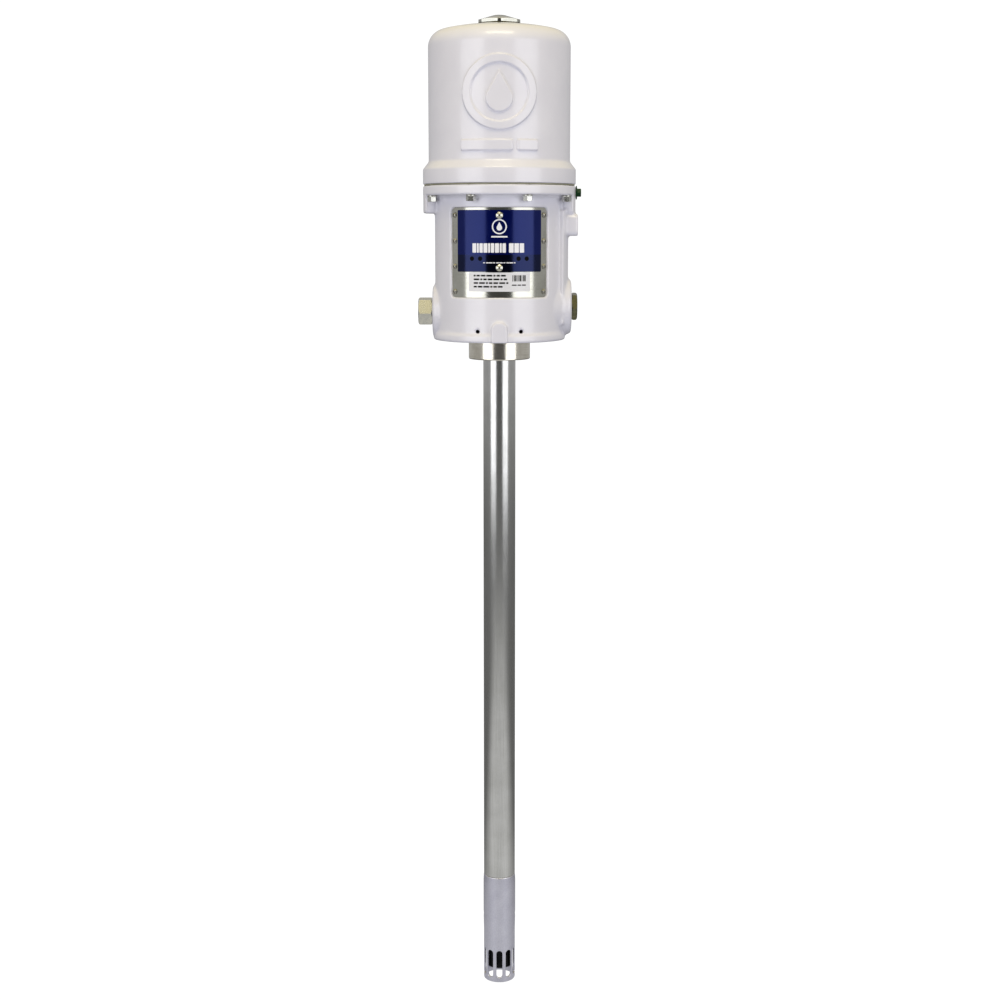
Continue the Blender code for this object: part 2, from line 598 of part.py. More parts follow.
def cover_screw_shape():
    """A hexagon-headed screw that points up, with the top of its washer face at z = 0."""
    head_flats, head_height, chamfer, washer, washer_r = 10.5, 7.6, 0.9, 1.4, 6.2
    shank_top = COVER_SCREW_TOP - FLANGE_LOW
    circle = polygon(head_flats / math.sqrt(3), 6)
    bm = bmesh.new()
    rings = []
    for outline, z in (
        ([(x * 0.8, y * 0.8) for x, y in circle], -head_height),
        (circle, chamfer - head_height),
        (circle, -washer),
    ):
        rings.append([bm.verts.new((x, y, z)) for x, y in outline])
    bm.faces.new(rings[0])
    for low, high in zip(rings, rings[1:]):
        for index in range(6):
            after = (index + 1) % 6
            bm.faces.new((low[index], low[after], high[after], high[index]))
    upper = []
    for radius, z in ((washer_r, -washer), (washer_r, 0.0), (COVER_SCREW_R, 0.0), (COVER_SCREW_R, shank_top)):
        upper.append([bm.verts.new((x, y, z)) for x, y in polygon(radius, SCREW)])
    for low, high in zip(upper, upper[1:]):
        for index in range(SCREW):
            after = (index + 1) % SCREW
            bm.faces.new((low[index], low[after], high[after], high[index]))
    bm.faces.new(upper[-1])
    ring = [edge for edge in bm.edges if edge.is_boundary]
    bmesh.ops.bridge_loops(bm, edges=ring)
    bmesh.ops.recalc_face_normals(bm, faces=bm.faces)
    return bm


def make_power_cylinder():
    low = LOWER_PLATE_TOP + GAP
    foot_r = CYLINDER_R + 3.0
    add_piece("power_cylinder", turned([
        (CYLINDER_BORE_R, low), (foot_r, low), (foot_r, low + 5.0),
        (CYLINDER_R, low + 8.0), (CYLINDER_R, HEAD_TOP - 2.0), (CYLINDER_R - 2.0, HEAD_TOP),
        (NUT_SHANK_R + GAP, HEAD_TOP), (NUT_SHANK_R + GAP, HEAD_LOW), (CYLINDER_BORE_R, HEAD_LOW),
    ], PIPE), "aluminium")
    plate = add_piece("cylinder_lower_plate", turned([
        (ROD_R + ROD_CLEARANCE, LOWER_PLATE_LOW), (LOWER_PLATE_R, LOWER_PLATE_LOW),
        (LOWER_PLATE_R, LOWER_PLATE_TOP), (ROD_R + ROD_CLEARANCE, LOWER_PLATE_TOP),
    ]), "aluminium")
    channel_top, feed_x, feed_r = LOWER_PLATE_LOW + 4.0, 48.0, 4.0
    channel_end = AIR_DUCT_X + AIR_DUCT_R
    combine(plate, "DIFFERENCE", [
        box((feed_x - feed_r, -AIR_DUCT_R, LOWER_PLATE_LOW - INTO), (channel_end, AIR_DUCT_R, channel_top)),
        moved(
            cylinder(feed_r, channel_top - 1.0, LOWER_PLATE_TOP + INTO, SCREW),
            Matrix.Translation((feed_x, 0, 0)),
        ),
    ])


def make_cap_nut():
    seat, crown = SEAT_Z + GAP, 2.4
    washer_top = seat + NUT_WASHER_THICK
    add_piece("cap_nut_washer", turned([
        (NUT_SHANK_R + GAP, seat), (NUT_WASHER_R, seat), (NUT_WASHER_R, washer_top),
        (NUT_SHANK_R + GAP, washer_top),
    ], ROD), "brass")
    low = washer_top + GAP
    nut = add_piece("cap_nut", hexagon(NUT_FLATS, low, NUT_TOP, crown, 30.0), "zinc")
    combine(nut, "UNION", [cylinder(NUT_SHANK_R, HEAD_LOW + 1.0, low + 1.0)])
    combine(nut, "DIFFERENCE", [cylinder(TRIP_ROD_R + GAP, HEAD_LOW - INTO, TRIP_ROD_TOP + 1.0, SCREW)])
    add_piece("trip_rod", turned([
        (0, TRIP_ROD_LOW), (TRIP_ROD_R, TRIP_ROD_LOW), (TRIP_ROD_R, TRIP_NUT_LOW),
        (TRIP_NUT_R, TRIP_NUT_LOW), (TRIP_NUT_R, TRIP_NUT_TOP), (TRIP_ROD_R, TRIP_NUT_TOP),
        (TRIP_ROD_R, TRIP_COLLAR_LOW), (TRIP_COLLAR_R, TRIP_COLLAR_LOW), (TRIP_COLLAR_R, TRIP_COLLAR_TOP),
        (TRIP_ROD_R, TRIP_COLLAR_TOP), (TRIP_ROD_R, TRIP_ROD_TOP), (0, TRIP_ROD_TOP),
    ], SCREW), "bare_steel")


# Pieces inside the base


def make_base_internals():
    pad_inner_r, pad_outer_r = CHEST_R - 10.0, RECESS_R - GAP
    add_piece("exhaust_muffler", wrapped(
        OPENING_HALF_ANGLE - 1.0, OPENING_LOW + 1.0, OPENING_HIGH - 1.0, 5.0, pad_inner_r, pad_outer_r, 180.0,
    ), "foam")
    ring_inner, ring_outer = ROD_R + ROD_CLEARANCE, SEAL_POCKET_R - GAP
    bearing_top = 70.0
    for name, low, high, finish in (
        ("throat_bearing", SEAL_POCKET_LOW + GAP, bearing_top - GAP, "brass"),
        ("throat_seal", bearing_top, DECK_TOP - GAP, "seal_plastic"),
    ):
        add_piece(name, turned([
            (ring_inner, low), (ring_outer, low), (ring_outer, high), (ring_inner, high),
        ], ROD), finish)
    retainer_r, retainer_top = 28.0, DECK_TOP + 5.0
    add_piece("seal_retainer", turned([
        (ring_inner, DECK_TOP + GAP), (retainer_r, DECK_TOP + GAP), (retainer_r, retainer_top - 1.5),
        (retainer_r - 4.0, retainer_top), (ring_inner, retainer_top),
    ], ROD), "bare_steel")


# The motor piston with its rods


def make_motor_piston(carrier):
    """The piston with its seal groove, its two valve ports and two pairs of cheeks for the toggles."""
    groove_low, groove_high, groove_r = 216.0, 224.0, 48.0
    piston_r = CYLINDER_BORE_R - 2 * GAP
    piston = add_piece("motor_piston", turned([
        (ROD_R + GAP, PISTON_LOW), (piston_r - 1.0, PISTON_LOW), (piston_r, PISTON_LOW + 1.0),
        (piston_r, groove_low), (groove_r, groove_low), (groove_r, groove_high),
        (piston_r, groove_high), (piston_r, PISTON_TOP - 1.0), (piston_r - 1.0, PISTON_TOP),
        (ROD_R + GAP, PISTON_TOP),
    ], PIPE), "aluminium", parent=carrier)
    cheeks = []
    cheek_x, half_thick, half_wide, above_pivot = 7.5, 2.0, 4.0, 5.0
    for y in (-TOGGLE_PIVOT_Y, TOGGLE_PIVOT_Y):
        for x in (-cheek_x, cheek_x):
            low = (x - half_thick, y - half_wide, PISTON_TOP - 1.0)
            high = (x + half_thick, y + half_wide, TOGGLE_PIVOT_Z + above_pivot)
            cheeks.append(box(low, high))
    combine(piston, "UNION", [merged(cheeks)])
    stem_holes = []
    for side in (-1, 1):
        at = Matrix.Translation((side * STEM_X, 0, 0))
        stem_holes.append(moved(cylinder(STEM_R + 1.5, PISTON_LOW, PISTON_TOP + INTO, SCREW), at))
        recess_top = POPPET_LOW + POPPET_THICK + SHIFT_TRAVEL + GAP
        stem_holes.append(moved(cylinder(POPPET_R + 1.0, PISTON_LOW - INTO, recess_top, ROD), at))
    trunnion_holes = [
        along_x(cylinder(TRUNNION_R + ROD_CLEARANCE, -12.0, 12.0, SCREW), y=y, z=TOGGLE_PIVOT_Z)
        for y in (-TOGGLE_PIVOT_Y, TOGGLE_PIVOT_Y)
    ]
    combine(piston, "DIFFERENCE", stem_holes + trunnion_holes)
    add_piece("motor_piston_seal", turned([
        (groove_r + GAP, groove_low + GAP), (CYLINDER_BORE_R - GAP, groove_low + GAP),
        (CYLINDER_BORE_R - GAP, groove_high - GAP), (groove_r + GAP, groove_high - GAP),
    ], PIPE), "rubber", parent=carrier)


def make_rods(carrier):
    socket_r, socket_top = CONNECTING_R + GAP, -30.0
    rod = add_piece("piston_rod", turned([
        (0, ROD_BORE_LOW), (ROD_BORE_R, ROD_BORE_LOW), (ROD_BORE_R, PISTON_TOP), (ROD_R, PISTON_TOP),
        (ROD_R, ROD_LOW), (socket_r, ROD_LOW), (socket_r, socket_top), (0, socket_top),
    ], ROD), "chrome_rod", parent=carrier)
    combine(rod, "DIFFERENCE", [along_x(cylinder(ROD_VENT_R, -20.0, 20.0, SCREW), z=ROD_VENT_Z)])
    cage = add_piece("connecting_rod", turned([
        (0, socket_top - GAP), (CONNECTING_R, socket_top - GAP), (CONNECTING_R, CAGE_TOP + 6.0),
        (CAGE_R, CAGE_TOP), (CAGE_R, CAGE_LOW), (CAGE_BORE_R, CAGE_LOW), (CAGE_BORE_R, CAGE_ROOF),
        (0, CAGE_ROOF),
    ], ROD), "bare_steel", parent=carrier)
    port_r, port_z = 2.7, CAGE_ROOF - 4.0
    combine(cage, "DIFFERENCE", [
        radial(cylinder(port_r, 5.0, CAGE_R + INTO, SCREW), angle, port_z) for angle in (0, 90, 180, 270)
    ])


def make_pump_piston(carrier):
    socket_r = CAGE_R + GAP
    socket_floor = CAGE_LOW - GAP
    groove_low, groove_high, groove_r = -711.0, -699.0, 14.2
    add_piece("pump_piston", turned([
        (PISTON_SEAT_R, PUMP_PISTON_LOW), (PUMP_PISTON_R - 1.0, PUMP_PISTON_LOW),
        (PUMP_PISTON_R, PUMP_PISTON_LOW + 1.0), (PUMP_PISTON_R, groove_low), (groove_r, groove_low),
        (groove_r, groove_high), (PUMP_PISTON_R, groove_high), (PUMP_PISTON_R, PUMP_PISTON_TOP),
        (socket_r, PUMP_PISTON_TOP), (socket_r, socket_floor), (CAGE_BORE_R, socket_floor),
        (CAGE_BORE_R, PISTON_SEAT_Z), (PISTON_SEAT_R, PISTON_SEAT_Z),
    ], PIPE), "bare_steel", parent=carrier)
    add_piece("pump_piston_seal", turned([
        (groove_r + GAP, groove_low + GAP), (TUBE_BORE_R - GAP, groove_low + GAP),
        (TUBE_BORE_R - GAP, groove_high - GAP), (groove_r + GAP, groove_high - GAP),
    ], PIPE), "seal_plastic", parent=carrier)


def seated_height(ball_r, seat_r, seat_z):
    """Height of a ball's centre when it rests on the edge of its seat."""
    return seat_z + math.sqrt(ball_r**2 - seat_r**2) + GAP


def make_air_valve(carrier):
    """The shifting valve on the motor piston: a spool with two poppets, held by two toggles."""
    shift = pivot("air_valve_shift", (0, 0, 0), carrier)
    flange_low = SPOOL_TOP - 2.5
    spool = turned([
        (0, BAR_LOW), (SPOOL_FLANGE_R, BAR_LOW), (SPOOL_FLANGE_R, BAR_TOP), (HUB_R, BAR_TOP),
        (HUB_R, flange_low), (SPOOL_FLANGE_R, flange_low), (SPOOL_FLANGE_R, SPOOL_TOP),
        (0, SPOOL_TOP),
    ], ROD)
    bar_end, bar_half_width, inset = STEM_X + 8.0, 9.0, 0.2
    bar = box((-bar_end, -bar_half_width, BAR_LOW + inset), (bar_end, bar_half_width, BAR_TOP - inset))
    actuator = add_piece("valve_actuator", bar, "bare_steel", parent=shift)
    stems = [
        moved(cylinder(STEM_R, POPPET_LOW - 1.0, BAR_LOW + 1.5, SCREW), Matrix.Translation((x, 0, 0)))
        for x in (-STEM_X, STEM_X)
    ]
    combine(actuator, "UNION", [spool, merged(stems)])
    combine(actuator, "DIFFERENCE", [cylinder(HUB_BORE_R, BAR_LOW - INTO, SPOOL_TOP + INTO, SCREW)])
    poppet_top = POPPET_LOW + POPPET_THICK
    for name, x in (("valve_poppet_left", -STEM_X), ("valve_poppet_right", STEM_X)):
        ring = turned([
            (STEM_R + GAP, POPPET_LOW), (POPPET_R, POPPET_LOW), (POPPET_R, poppet_top),
            (STEM_R + GAP, poppet_top),
        ], ROD)
        add_piece(name, ring, "rubber", (x, 0, 0), shift)
    for name, side in (("toggle_front", -1), ("toggle_back", 1)):
        hinge = pivot(f"{name}_pivot", (0, side * TOGGLE_PIVOT_Y, TOGGLE_PIVOT_Z), carrier)
        make_toggle(name, side, hinge)


def make_toggle(name, side, hinge):
    """A lever whose nose sits in the spool's groove, half the valve's travel below its pivot."""
    drop = SHIFT_TRAVEL / 2
    nose_y = -side * TOGGLE_REACH
    toggle = add_piece(
        name, along_x(cylinder(TRUNNION_R, -TRUNNION_HALF_LENGTH, TRUNNION_HALF_LENGTH, SCREW)),
        "bare_steel", parent=hinge,
    )
    width = TOGGLE_HALF_WIDTH
    eye = along_x(cylinder(TOGGLE_NOSE_R + 0.8, -width, width, SCREW))
    nose = along_x(cylinder(TOGGLE_NOSE_R, -width, width, SCREW), y=nose_y, z=-drop)
    length = math.hypot(TOGGLE_REACH, drop)
    arm = box((-width + 0.5, -length, -1.8), (width - 0.5, 0, 1.8))
    tilt = Matrix.Rotation(math.atan2(drop, TOGGLE_REACH), 4, "X")
    flip = Matrix.Rotation(math.pi if side < 0 else 0.0, 4, "Z")
    combine(toggle, "UNION", [eye, nose, moved(arm, flip @ tilt)])


def make_moving_parts():
    stroke = pivot("pump_stroke", (0, 0, 0))
    make_motor_piston(stroke)
    make_rods(stroke)
    make_pump_piston(stroke)
    make_air_valve(stroke)
    piston_ball_z = seated_height(PISTON_BALL_R, PISTON_SEAT_R, PISTON_SEAT_Z)
    add_piece("piston_ball", ball(PISTON_BALL_R, (0, 0, 0)), "chrome_rod", (0, 0, piston_ball_z), stroke)
    intake_ball_z = seated_height(INTAKE_BALL_R, INTAKE_SEAT_R, INTAKE_SEAT_Z)
    add_piece("intake_ball", ball(INTAKE_BALL_R, (0, 0, 0)), "chrome_rod", (0, 0, intake_ball_z))


# Riser tube and foot valve


def make_riser():
    bore, collar_top, chamfer = TUBE_R + GAP, COLLAR_SEAT_Z - GAP, 1.4
    spigot_top = GALLERY_LOW - 1.0
    groove_low, groove_high, groove_r = -14.0, -10.0, bore + 2.4
    add_piece("riser_collar", turned([
        (bore, COLLAR_LOW), (COLLAR_R - chamfer, COLLAR_LOW), (COLLAR_R, COLLAR_LOW + chamfer),
        (COLLAR_R, collar_top), (COLLAR_SPIGOT_R, collar_top), (COLLAR_SPIGOT_R, spigot_top),
        (bore, spigot_top), (bore, groove_high), (groove_r, groove_high), (groove_r, groove_low),
        (bore, groove_low),
    ], PIPE), "bare_steel")
    add_piece("tube_o_ring", turned([
        (bore, groove_low + GAP), (groove_r - GAP, groove_low + GAP), (groove_r - GAP, groove_high - GAP),
        (bore, groove_high - GAP),
    ], PIPE), "rubber")
    add_piece("riser_tube", turned([
        (TUBE_BORE_R, TUBE_END), (TUBE_THREAD_R, TUBE_END), (TUBE_THREAD_R, TUBE_LOW + GAP),
        (TUBE_R, TUBE_LOW + GAP), (TUBE_R, spigot_top), (TUBE_BORE_R, spigot_top),
    ], PIPE), "bare_steel")


def make_foot_valve():
    thread_r, chamfer = TUBE_THREAD_R + GAP, 0.8
    housing = add_piece("foot_valve_housing", turned([
        (FOOT_MOUTH_R, FOOT_LOW), (FOOT_R - chamfer, FOOT_LOW), (FOOT_R, FOOT_LOW + chamfer),
        (FOOT_R, FOOT_BELLY_LOW - 22.0), (FOOT_BELLY_R, FOOT_BELLY_LOW), (FOOT_BELLY_R, FOOT_BELLY_TOP),
        (FOOT_R, FOOT_BELLY_TOP + 7.0), (FOOT_R - 0.3, TUBE_LOW), (thread_r, TUBE_LOW),
        (thread_r, TUBE_END - GAP), (FOOT_BORE_R, TUBE_END - GAP), (FOOT_BORE_R, INTAKE_SEAT_Z + GAP),
        (SEAT_POCKET_R, INTAKE_SEAT_Z + GAP), (SEAT_POCKET_R, SEAT_POCKET_LOW),
        (FOOT_MOUTH_R, SEAT_POCKET_LOW),
    ], 2 * SLOTS), "zinc")
    outline = []
    half_width = SLOT_WIDTH / 2
    for centre, start in ((SLOT_HIGH - half_width, 0), (SLOT_LOW + half_width, 180)):
        outline += arc(0, centre, half_width, start, start + 180, 3)
    slots = []
    for index in range(SLOTS):
        around = Matrix.Rotation(2 * math.pi * index / SLOTS, 4, "Z")
        slots.append(moved(prism(outline, FOOT_MOUTH_R - 2 * INTO, FOOT_R + 2 * INTO), around @ upright_turn()))
    pin_hole = along_x(cylinder(STOP_PIN_R + GAP, -30.0, 30.0, SCREW), z=STOP_PIN_Z)
    combine(housing, "DIFFERENCE", [merged(slots), pin_hole])
    pin_end = FOOT_R - 0.2
    pin = along_x(cylinder(STOP_PIN_R, -pin_end, pin_end, SCREW), z=STOP_PIN_Z)
    add_piece("ball_stop_pin", pin, "stainless")
    seat_outer_r, seat_low, tube_bore_r = SEAT_POCKET_R - GAP, SEAT_POCKET_LOW + 1.0, 10.0
    add_piece("intake_seat", turned([
        (INTAKE_SEAT_R, INTAKE_SEAT_Z), (seat_outer_r, INTAKE_SEAT_Z), (seat_outer_r, seat_low),
        (SEAT_TUBE_R, seat_low), (SEAT_TUBE_R, SEAT_TUBE_LOW), (tube_bore_r, SEAT_TUBE_LOW),
        (tube_bore_r, seat_low - 2.0), (INTAKE_SEAT_R, INTAKE_SEAT_Z - 10.0),
    ], PIPE), "stainless")


def main():
    for thing in list(bpy.data.objects):
        bpy.data.objects.remove(thing)
    make_motor_base()
    make_window_plates()
    make_base_fittings()
    make_cover()
    make_power_cylinder()
    make_cap_nut()
    make_base_internals()
    make_moving_parts()
    make_riser()
    make_foot_valve()


main()
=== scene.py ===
"""The looks of the drum barrel pump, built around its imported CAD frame.

Shapes are drawn in millimetres in the frame's own axes: +Z up along the pump, -Y its front with the
badge, +X the side with the air inlet. Main sizes are read from the CAD nodes' boxes. A turned outline
is a list of (radius, height, rounding) corners, and every angle round the pump is in degrees from the
front, towards +X.
"""

import json
import math

import bmesh
import bpy
import numpy as np
from mathutils import Matrix, Vector

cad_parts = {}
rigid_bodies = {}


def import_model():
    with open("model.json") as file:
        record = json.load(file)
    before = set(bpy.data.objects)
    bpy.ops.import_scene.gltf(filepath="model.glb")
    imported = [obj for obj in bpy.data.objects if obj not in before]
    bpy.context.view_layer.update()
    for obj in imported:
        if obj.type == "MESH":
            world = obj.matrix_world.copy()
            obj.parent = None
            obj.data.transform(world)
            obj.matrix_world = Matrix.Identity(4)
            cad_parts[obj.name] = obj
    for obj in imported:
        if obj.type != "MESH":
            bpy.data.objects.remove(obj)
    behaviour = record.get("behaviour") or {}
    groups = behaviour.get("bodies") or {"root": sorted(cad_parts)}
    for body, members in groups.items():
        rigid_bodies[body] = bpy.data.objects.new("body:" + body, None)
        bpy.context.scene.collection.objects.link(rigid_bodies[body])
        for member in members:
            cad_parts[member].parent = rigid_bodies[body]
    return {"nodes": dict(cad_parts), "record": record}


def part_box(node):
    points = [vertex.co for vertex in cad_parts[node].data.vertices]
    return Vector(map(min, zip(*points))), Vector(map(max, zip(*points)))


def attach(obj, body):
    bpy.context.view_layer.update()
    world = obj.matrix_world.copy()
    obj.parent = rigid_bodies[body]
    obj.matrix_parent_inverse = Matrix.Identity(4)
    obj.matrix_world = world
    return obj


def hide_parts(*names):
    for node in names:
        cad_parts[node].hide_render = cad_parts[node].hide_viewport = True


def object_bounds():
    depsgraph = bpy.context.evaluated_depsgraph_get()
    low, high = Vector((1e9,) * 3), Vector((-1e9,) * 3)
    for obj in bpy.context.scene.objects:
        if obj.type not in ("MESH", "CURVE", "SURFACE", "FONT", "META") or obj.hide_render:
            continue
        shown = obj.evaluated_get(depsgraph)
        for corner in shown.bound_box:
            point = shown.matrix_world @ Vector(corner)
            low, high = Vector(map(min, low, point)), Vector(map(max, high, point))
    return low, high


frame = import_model()
cad_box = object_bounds()

MM = 0.001
GAP = 0.3  # clearance between pieces that touch on the real pump
BIG, MIDDLE, SMALL = 160, 96, 40  # sides of round shapes


def span(node):
    """Lowest and highest corner of a CAD node, in millimetres."""
    low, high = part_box(node)
    return low / MM, high / MM


# Sizes read from the frame

FOLD = math.cos(math.radians(360 / 32 / 2))  # the CAD sheets are bent in flats, so their boxes fall short
PLATE_LIFT, PLATE_GROWTH = 1.4, 1.8  # the plates sit higher here than in the frame, and are taller


def sheet_span(node):
    """Lower edge, upper edge and outer radius of a sheet at the front."""
    low, high = span(node)
    return low.z + PLATE_LIFT, high.z + PLATE_LIFT, -low.y / FOLD


base_high = span("motor_base")[1]
FLANGE_R, FLANGE_TOP, AIR_FACE_X = base_high.y, base_high.z, base_high.x
COVER_LOW, COVER_SEAT_Z = span("air_cylinder_cover")[0].z, span("air_cylinder_cover")[1].z
PLATE_LOW, plate_top, PLATE_R = sheet_span("front_plate")
PLATE_HIGH = plate_top + PLATE_GROWTH
BADGE_LOW, BADGE_HIGH, BADGE_R = sheet_span("name_badge")
LABEL_LOW, LABEL_HIGH, LABEL_R = sheet_span("spec_label")
TUBE_R, TUBE_END = span("riser_tube")[1].y, span("riser_tube")[0].z
FOOT_LOW, FOOT_TOP = span("foot_valve_housing")[0].z, span("foot_valve_housing")[1].z
FOOT_BELLY_R = span("foot_valve_housing")[1].y

# Sizes that no box gives

BODY_R, RIM_R = 81.8, 84.1
FLANGE_LOW = 181.0
CHEST_R, CHEST_FLOOR = 70.0, 10.0
TOWER_R, DECK_TOP = 34.0, 80.0
GALLERY_R, GALLERY_LOW, GALLERY_TOP, BOTTOM_BORE_R = 24.0, 14.3, 54.0, 30.3
OUTLET_Z, OUTLET_BOSS_R, OUTLET_FACE_X = 36.0, 34.0, 85.0
PLUG_Z, PLUG_BOSS_R, PLUG_FACE_X = 42.0, 35.0, 91.6
PORT_SOCKET_R, PORT_SOCKET_X, PORT_BORE_R, PORT_ARM_R = 13.3, 70.0, 9.0, 18.0
AIR_Z, AIR_HALF_WIDTH, AIR_HALF_HEIGHT, AIR_BORE_R = 144.5, 27.0, 13.5, 10.5
AIR_DUCT_X, AIR_DUCT_R = 78.5, 4.5
LUG_LOW, DUCT_R = 159.0, 87.6
VENT_X, VENT_Z, VENT_R = 26.8, 14.0, 2.6
RECESS_R, WINDOW_HALF_ANGLE, WINDOW_CORNER = 78.0, 47.5, 6.0
PLATE_THICK, BADGE_THICK, LABEL_THICK = 1.5, 0.8, 0.3
COVER_R, COVER_INNER_R, SKIRT_TOP, SHOULDER_TOP = 89.2, 84.7, 213.5, 223.0
CROWN_R, CROWN_TOP, CROWN_CORNER_R, CROWN_CORNER_Z = 338.5, 391.6, 21.0, 363.2
COVER_SCREW_CIRCLE, COVER_SCREW_HOLE_R = 90.5, 3.6

# Nodes of the screws on the plates

PLATE_SCREWS = [f"plate_screw_{number}" for number in range(1, 9)]
REAR_SCREWS = [f"rear_plate_screw_{number}" for number in range(1, 5)]
BADGE_SCREWS = ["badge_screw_top", "badge_screw_bottom"]


# Materials


def srgb(red, green, blue):
    """A colour given as 0 to 255 screen values, as linear red, green, blue and alpha."""
    linear = []
    for value in (red, green, blue):
        share = value / 255
        linear.append(share / 12.92 if share <= 0.04045 else ((share + 0.055) / 1.055) ** 2.4)
    return (*linear, 1.0)


class Nodes:
    """A short way to write the node tree of a new material or world."""

    def __init__(self, name, kind="materials", coordinates="Object"):
        self.owner = getattr(bpy.data, kind).new(name)
        self.owner.use_nodes = True
        self.tree = self.owner.node_tree
        self.place = self.add("TexCoord").outputs[coordinates]

    def feed(self, socket, source):
        """Links a node's input to another node's output, or sets it to a value."""
        if isinstance(source, bpy.types.NodeSocket):
            self.tree.links.new(source, socket)
        else:
            socket.default_value = source

    def add(self, kind, *sources, **named):
        """A new node, with its first inputs from sources and others by name."""
        node = self.tree.nodes.new(f"ShaderNode{kind}")
        for socket, source in zip(node.inputs, sources):
            self.feed(socket, source)
        self.set(node, **named)
        return node

    def set(self, node, **named):
        for name, source in named.items():
            self.feed(node.inputs[name.replace("_", " ")], source)

    def noise(self, scale, detail=3.0, roughness=0.55):
        """Noise with so many waves per metre, the same along every axis or one number for each."""
        waves = scale if isinstance(scale, tuple) else (scale, scale, scale)
        place = self.add("Mapping", self.place, Scale=waves).outputs["Vector"]
        return self.add("TexNoise", place, Scale=1.0, Detail=detail, Roughness=roughness).outputs["Fac"]

    def spread(self, source, low, high, start=0.3, end=0.7):
        """Maps source from start..end onto low..high."""
        node = self.add("MapRange", source, From_Min=start, From_Max=end, To_Min=low, To_Max=high)
        return node.outputs["Result"]

    def math(self, operation, *sources, kind="Math", output="Value"):
        node = self.add(kind, *sources)
        node.operation = operation
        return node.outputs[output]

    def blend(self, factor, first, second, colours=True):
        """Between first and second, each a value or a socket: colours, or else numbers."""
        node = self.add("Mix", factor)
        node.data_type = "RGBA" if colours else "FLOAT"
        first_input, output = (6, 2) if colours else (2, 0)
        self.feed(node.inputs[first_input], first)
        self.feed(node.inputs[first_input + 1], second)
        return node.outputs[output]

    def bump(self, height, depth, **below):
        """Surface relief of the given depth in millimetres, laid over the normal that is below it."""
        return self.add("Bump", Height=height, Strength=1.0, Distance=depth * MM, **below).outputs["Normal"]

    def part(self, source, axis):
        """One coordinate of a vector."""
        return self.add("SeparateXYZ", source).outputs[axis]

    def finish(self, **named):
        """Sets the inputs of the material's shader and returns the material."""
        self.set(self.tree.nodes["Principled BSDF"], **named)
        return self.owner


def paint():
    """Off-white sprayed enamel on a sand casting: orange peel and faint clouding."""
    n = Nodes("white_paint")
    colour = n.blend(n.spread(n.noise(22, 4.0), 0.0, 1.0), srgb(231, 230, 241), srgb(225, 224, 236))
    peel, cast = n.noise(420, 1.0), n.noise(95, 1.5)
    normal = n.bump(peel, 0.010, Normal=n.bump(cast, 0.06))
    gloss = n.spread(n.noise(24, 0.0), 0.29, 0.35)
    return n.finish(Base_Color=colour, Roughness=gloss, Normal=normal, Coat_Weight=0.7, Coat_Roughness=0.13)


def badge_enamel():
    """Blue enamel over a black band along the lower edge."""
    n = Nodes("blue_badge")
    band_top, fade = 108.4, 0.2
    texture = n.noise(900)
    blue = n.blend(n.spread(texture, 0.0, 1.0), srgb(0, 5, 62), srgb(2, 9, 70))
    black = n.blend(n.spread(texture, 0.0, 1.0), srgb(0, 0, 2), srgb(2, 2, 5))
    above = n.spread(n.part(n.place, "Z"), 0.0, 1.0, (band_top - fade) * MM, (band_top + fade) * MM)
    return n.finish(
        Base_Color=n.blend(above, black, blue), Roughness=n.spread(n.noise(70), 0.10, 0.16),
        Normal=n.bump(texture, 0.002), Specular_IOR_Level=0.70, Specular_Tint=(0.26, 0.34, 1.0, 1.0),
    )


def grained_metal(name, light, dark, smoothest, roughest, grain, depth, blotch=30.0):
    """Metal whose tone, gloss and relief follow a grain and larger blotches."""
    n = Nodes(name)
    lines, patches = n.noise(grain, 4.0, 0.6), n.noise(blotch, 4.0)
    tone = n.math("ADD", n.math("MULTIPLY", lines, 0.55), n.math("MULTIPLY", patches, 0.45))
    return n.finish(
        Base_Color=n.blend(n.spread(tone, 0.0, 1.0, 0.35, 0.65), srgb(*dark), srgb(*light)),
        Roughness=n.spread(tone, roughest, smoothest, 0.35, 0.65), Normal=n.bump(lines, depth), Metallic=1.0,
    )


def moulded(name, light, dark, smoothest, roughest, grain, depth, shine=0.5):
    """Rubber, plastic, foam or enamel with an even fine texture."""
    n = Nodes(name)
    texture, cloud = n.noise(grain, 4.0, 0.6), n.noise(35)
    tone = n.math("MULTIPLY", n.math("ADD", texture, cloud), 0.5)
    return n.finish(
        Base_Color=n.blend(n.spread(tone, 0.0, 1.0, 0.38, 0.62), srgb(*dark), srgb(*light)),
        Roughness=n.spread(texture, smoothest, roughest),
        Normal=n.bump(texture, depth), Specular_IOR_Level=shine,
    )


# Each look is a light and a dark colour, the smoothest and roughest gloss, the grain in waves per metre,
# the depth of its relief in millimetres, and last, if given, the blotches of a metal or the shine of others

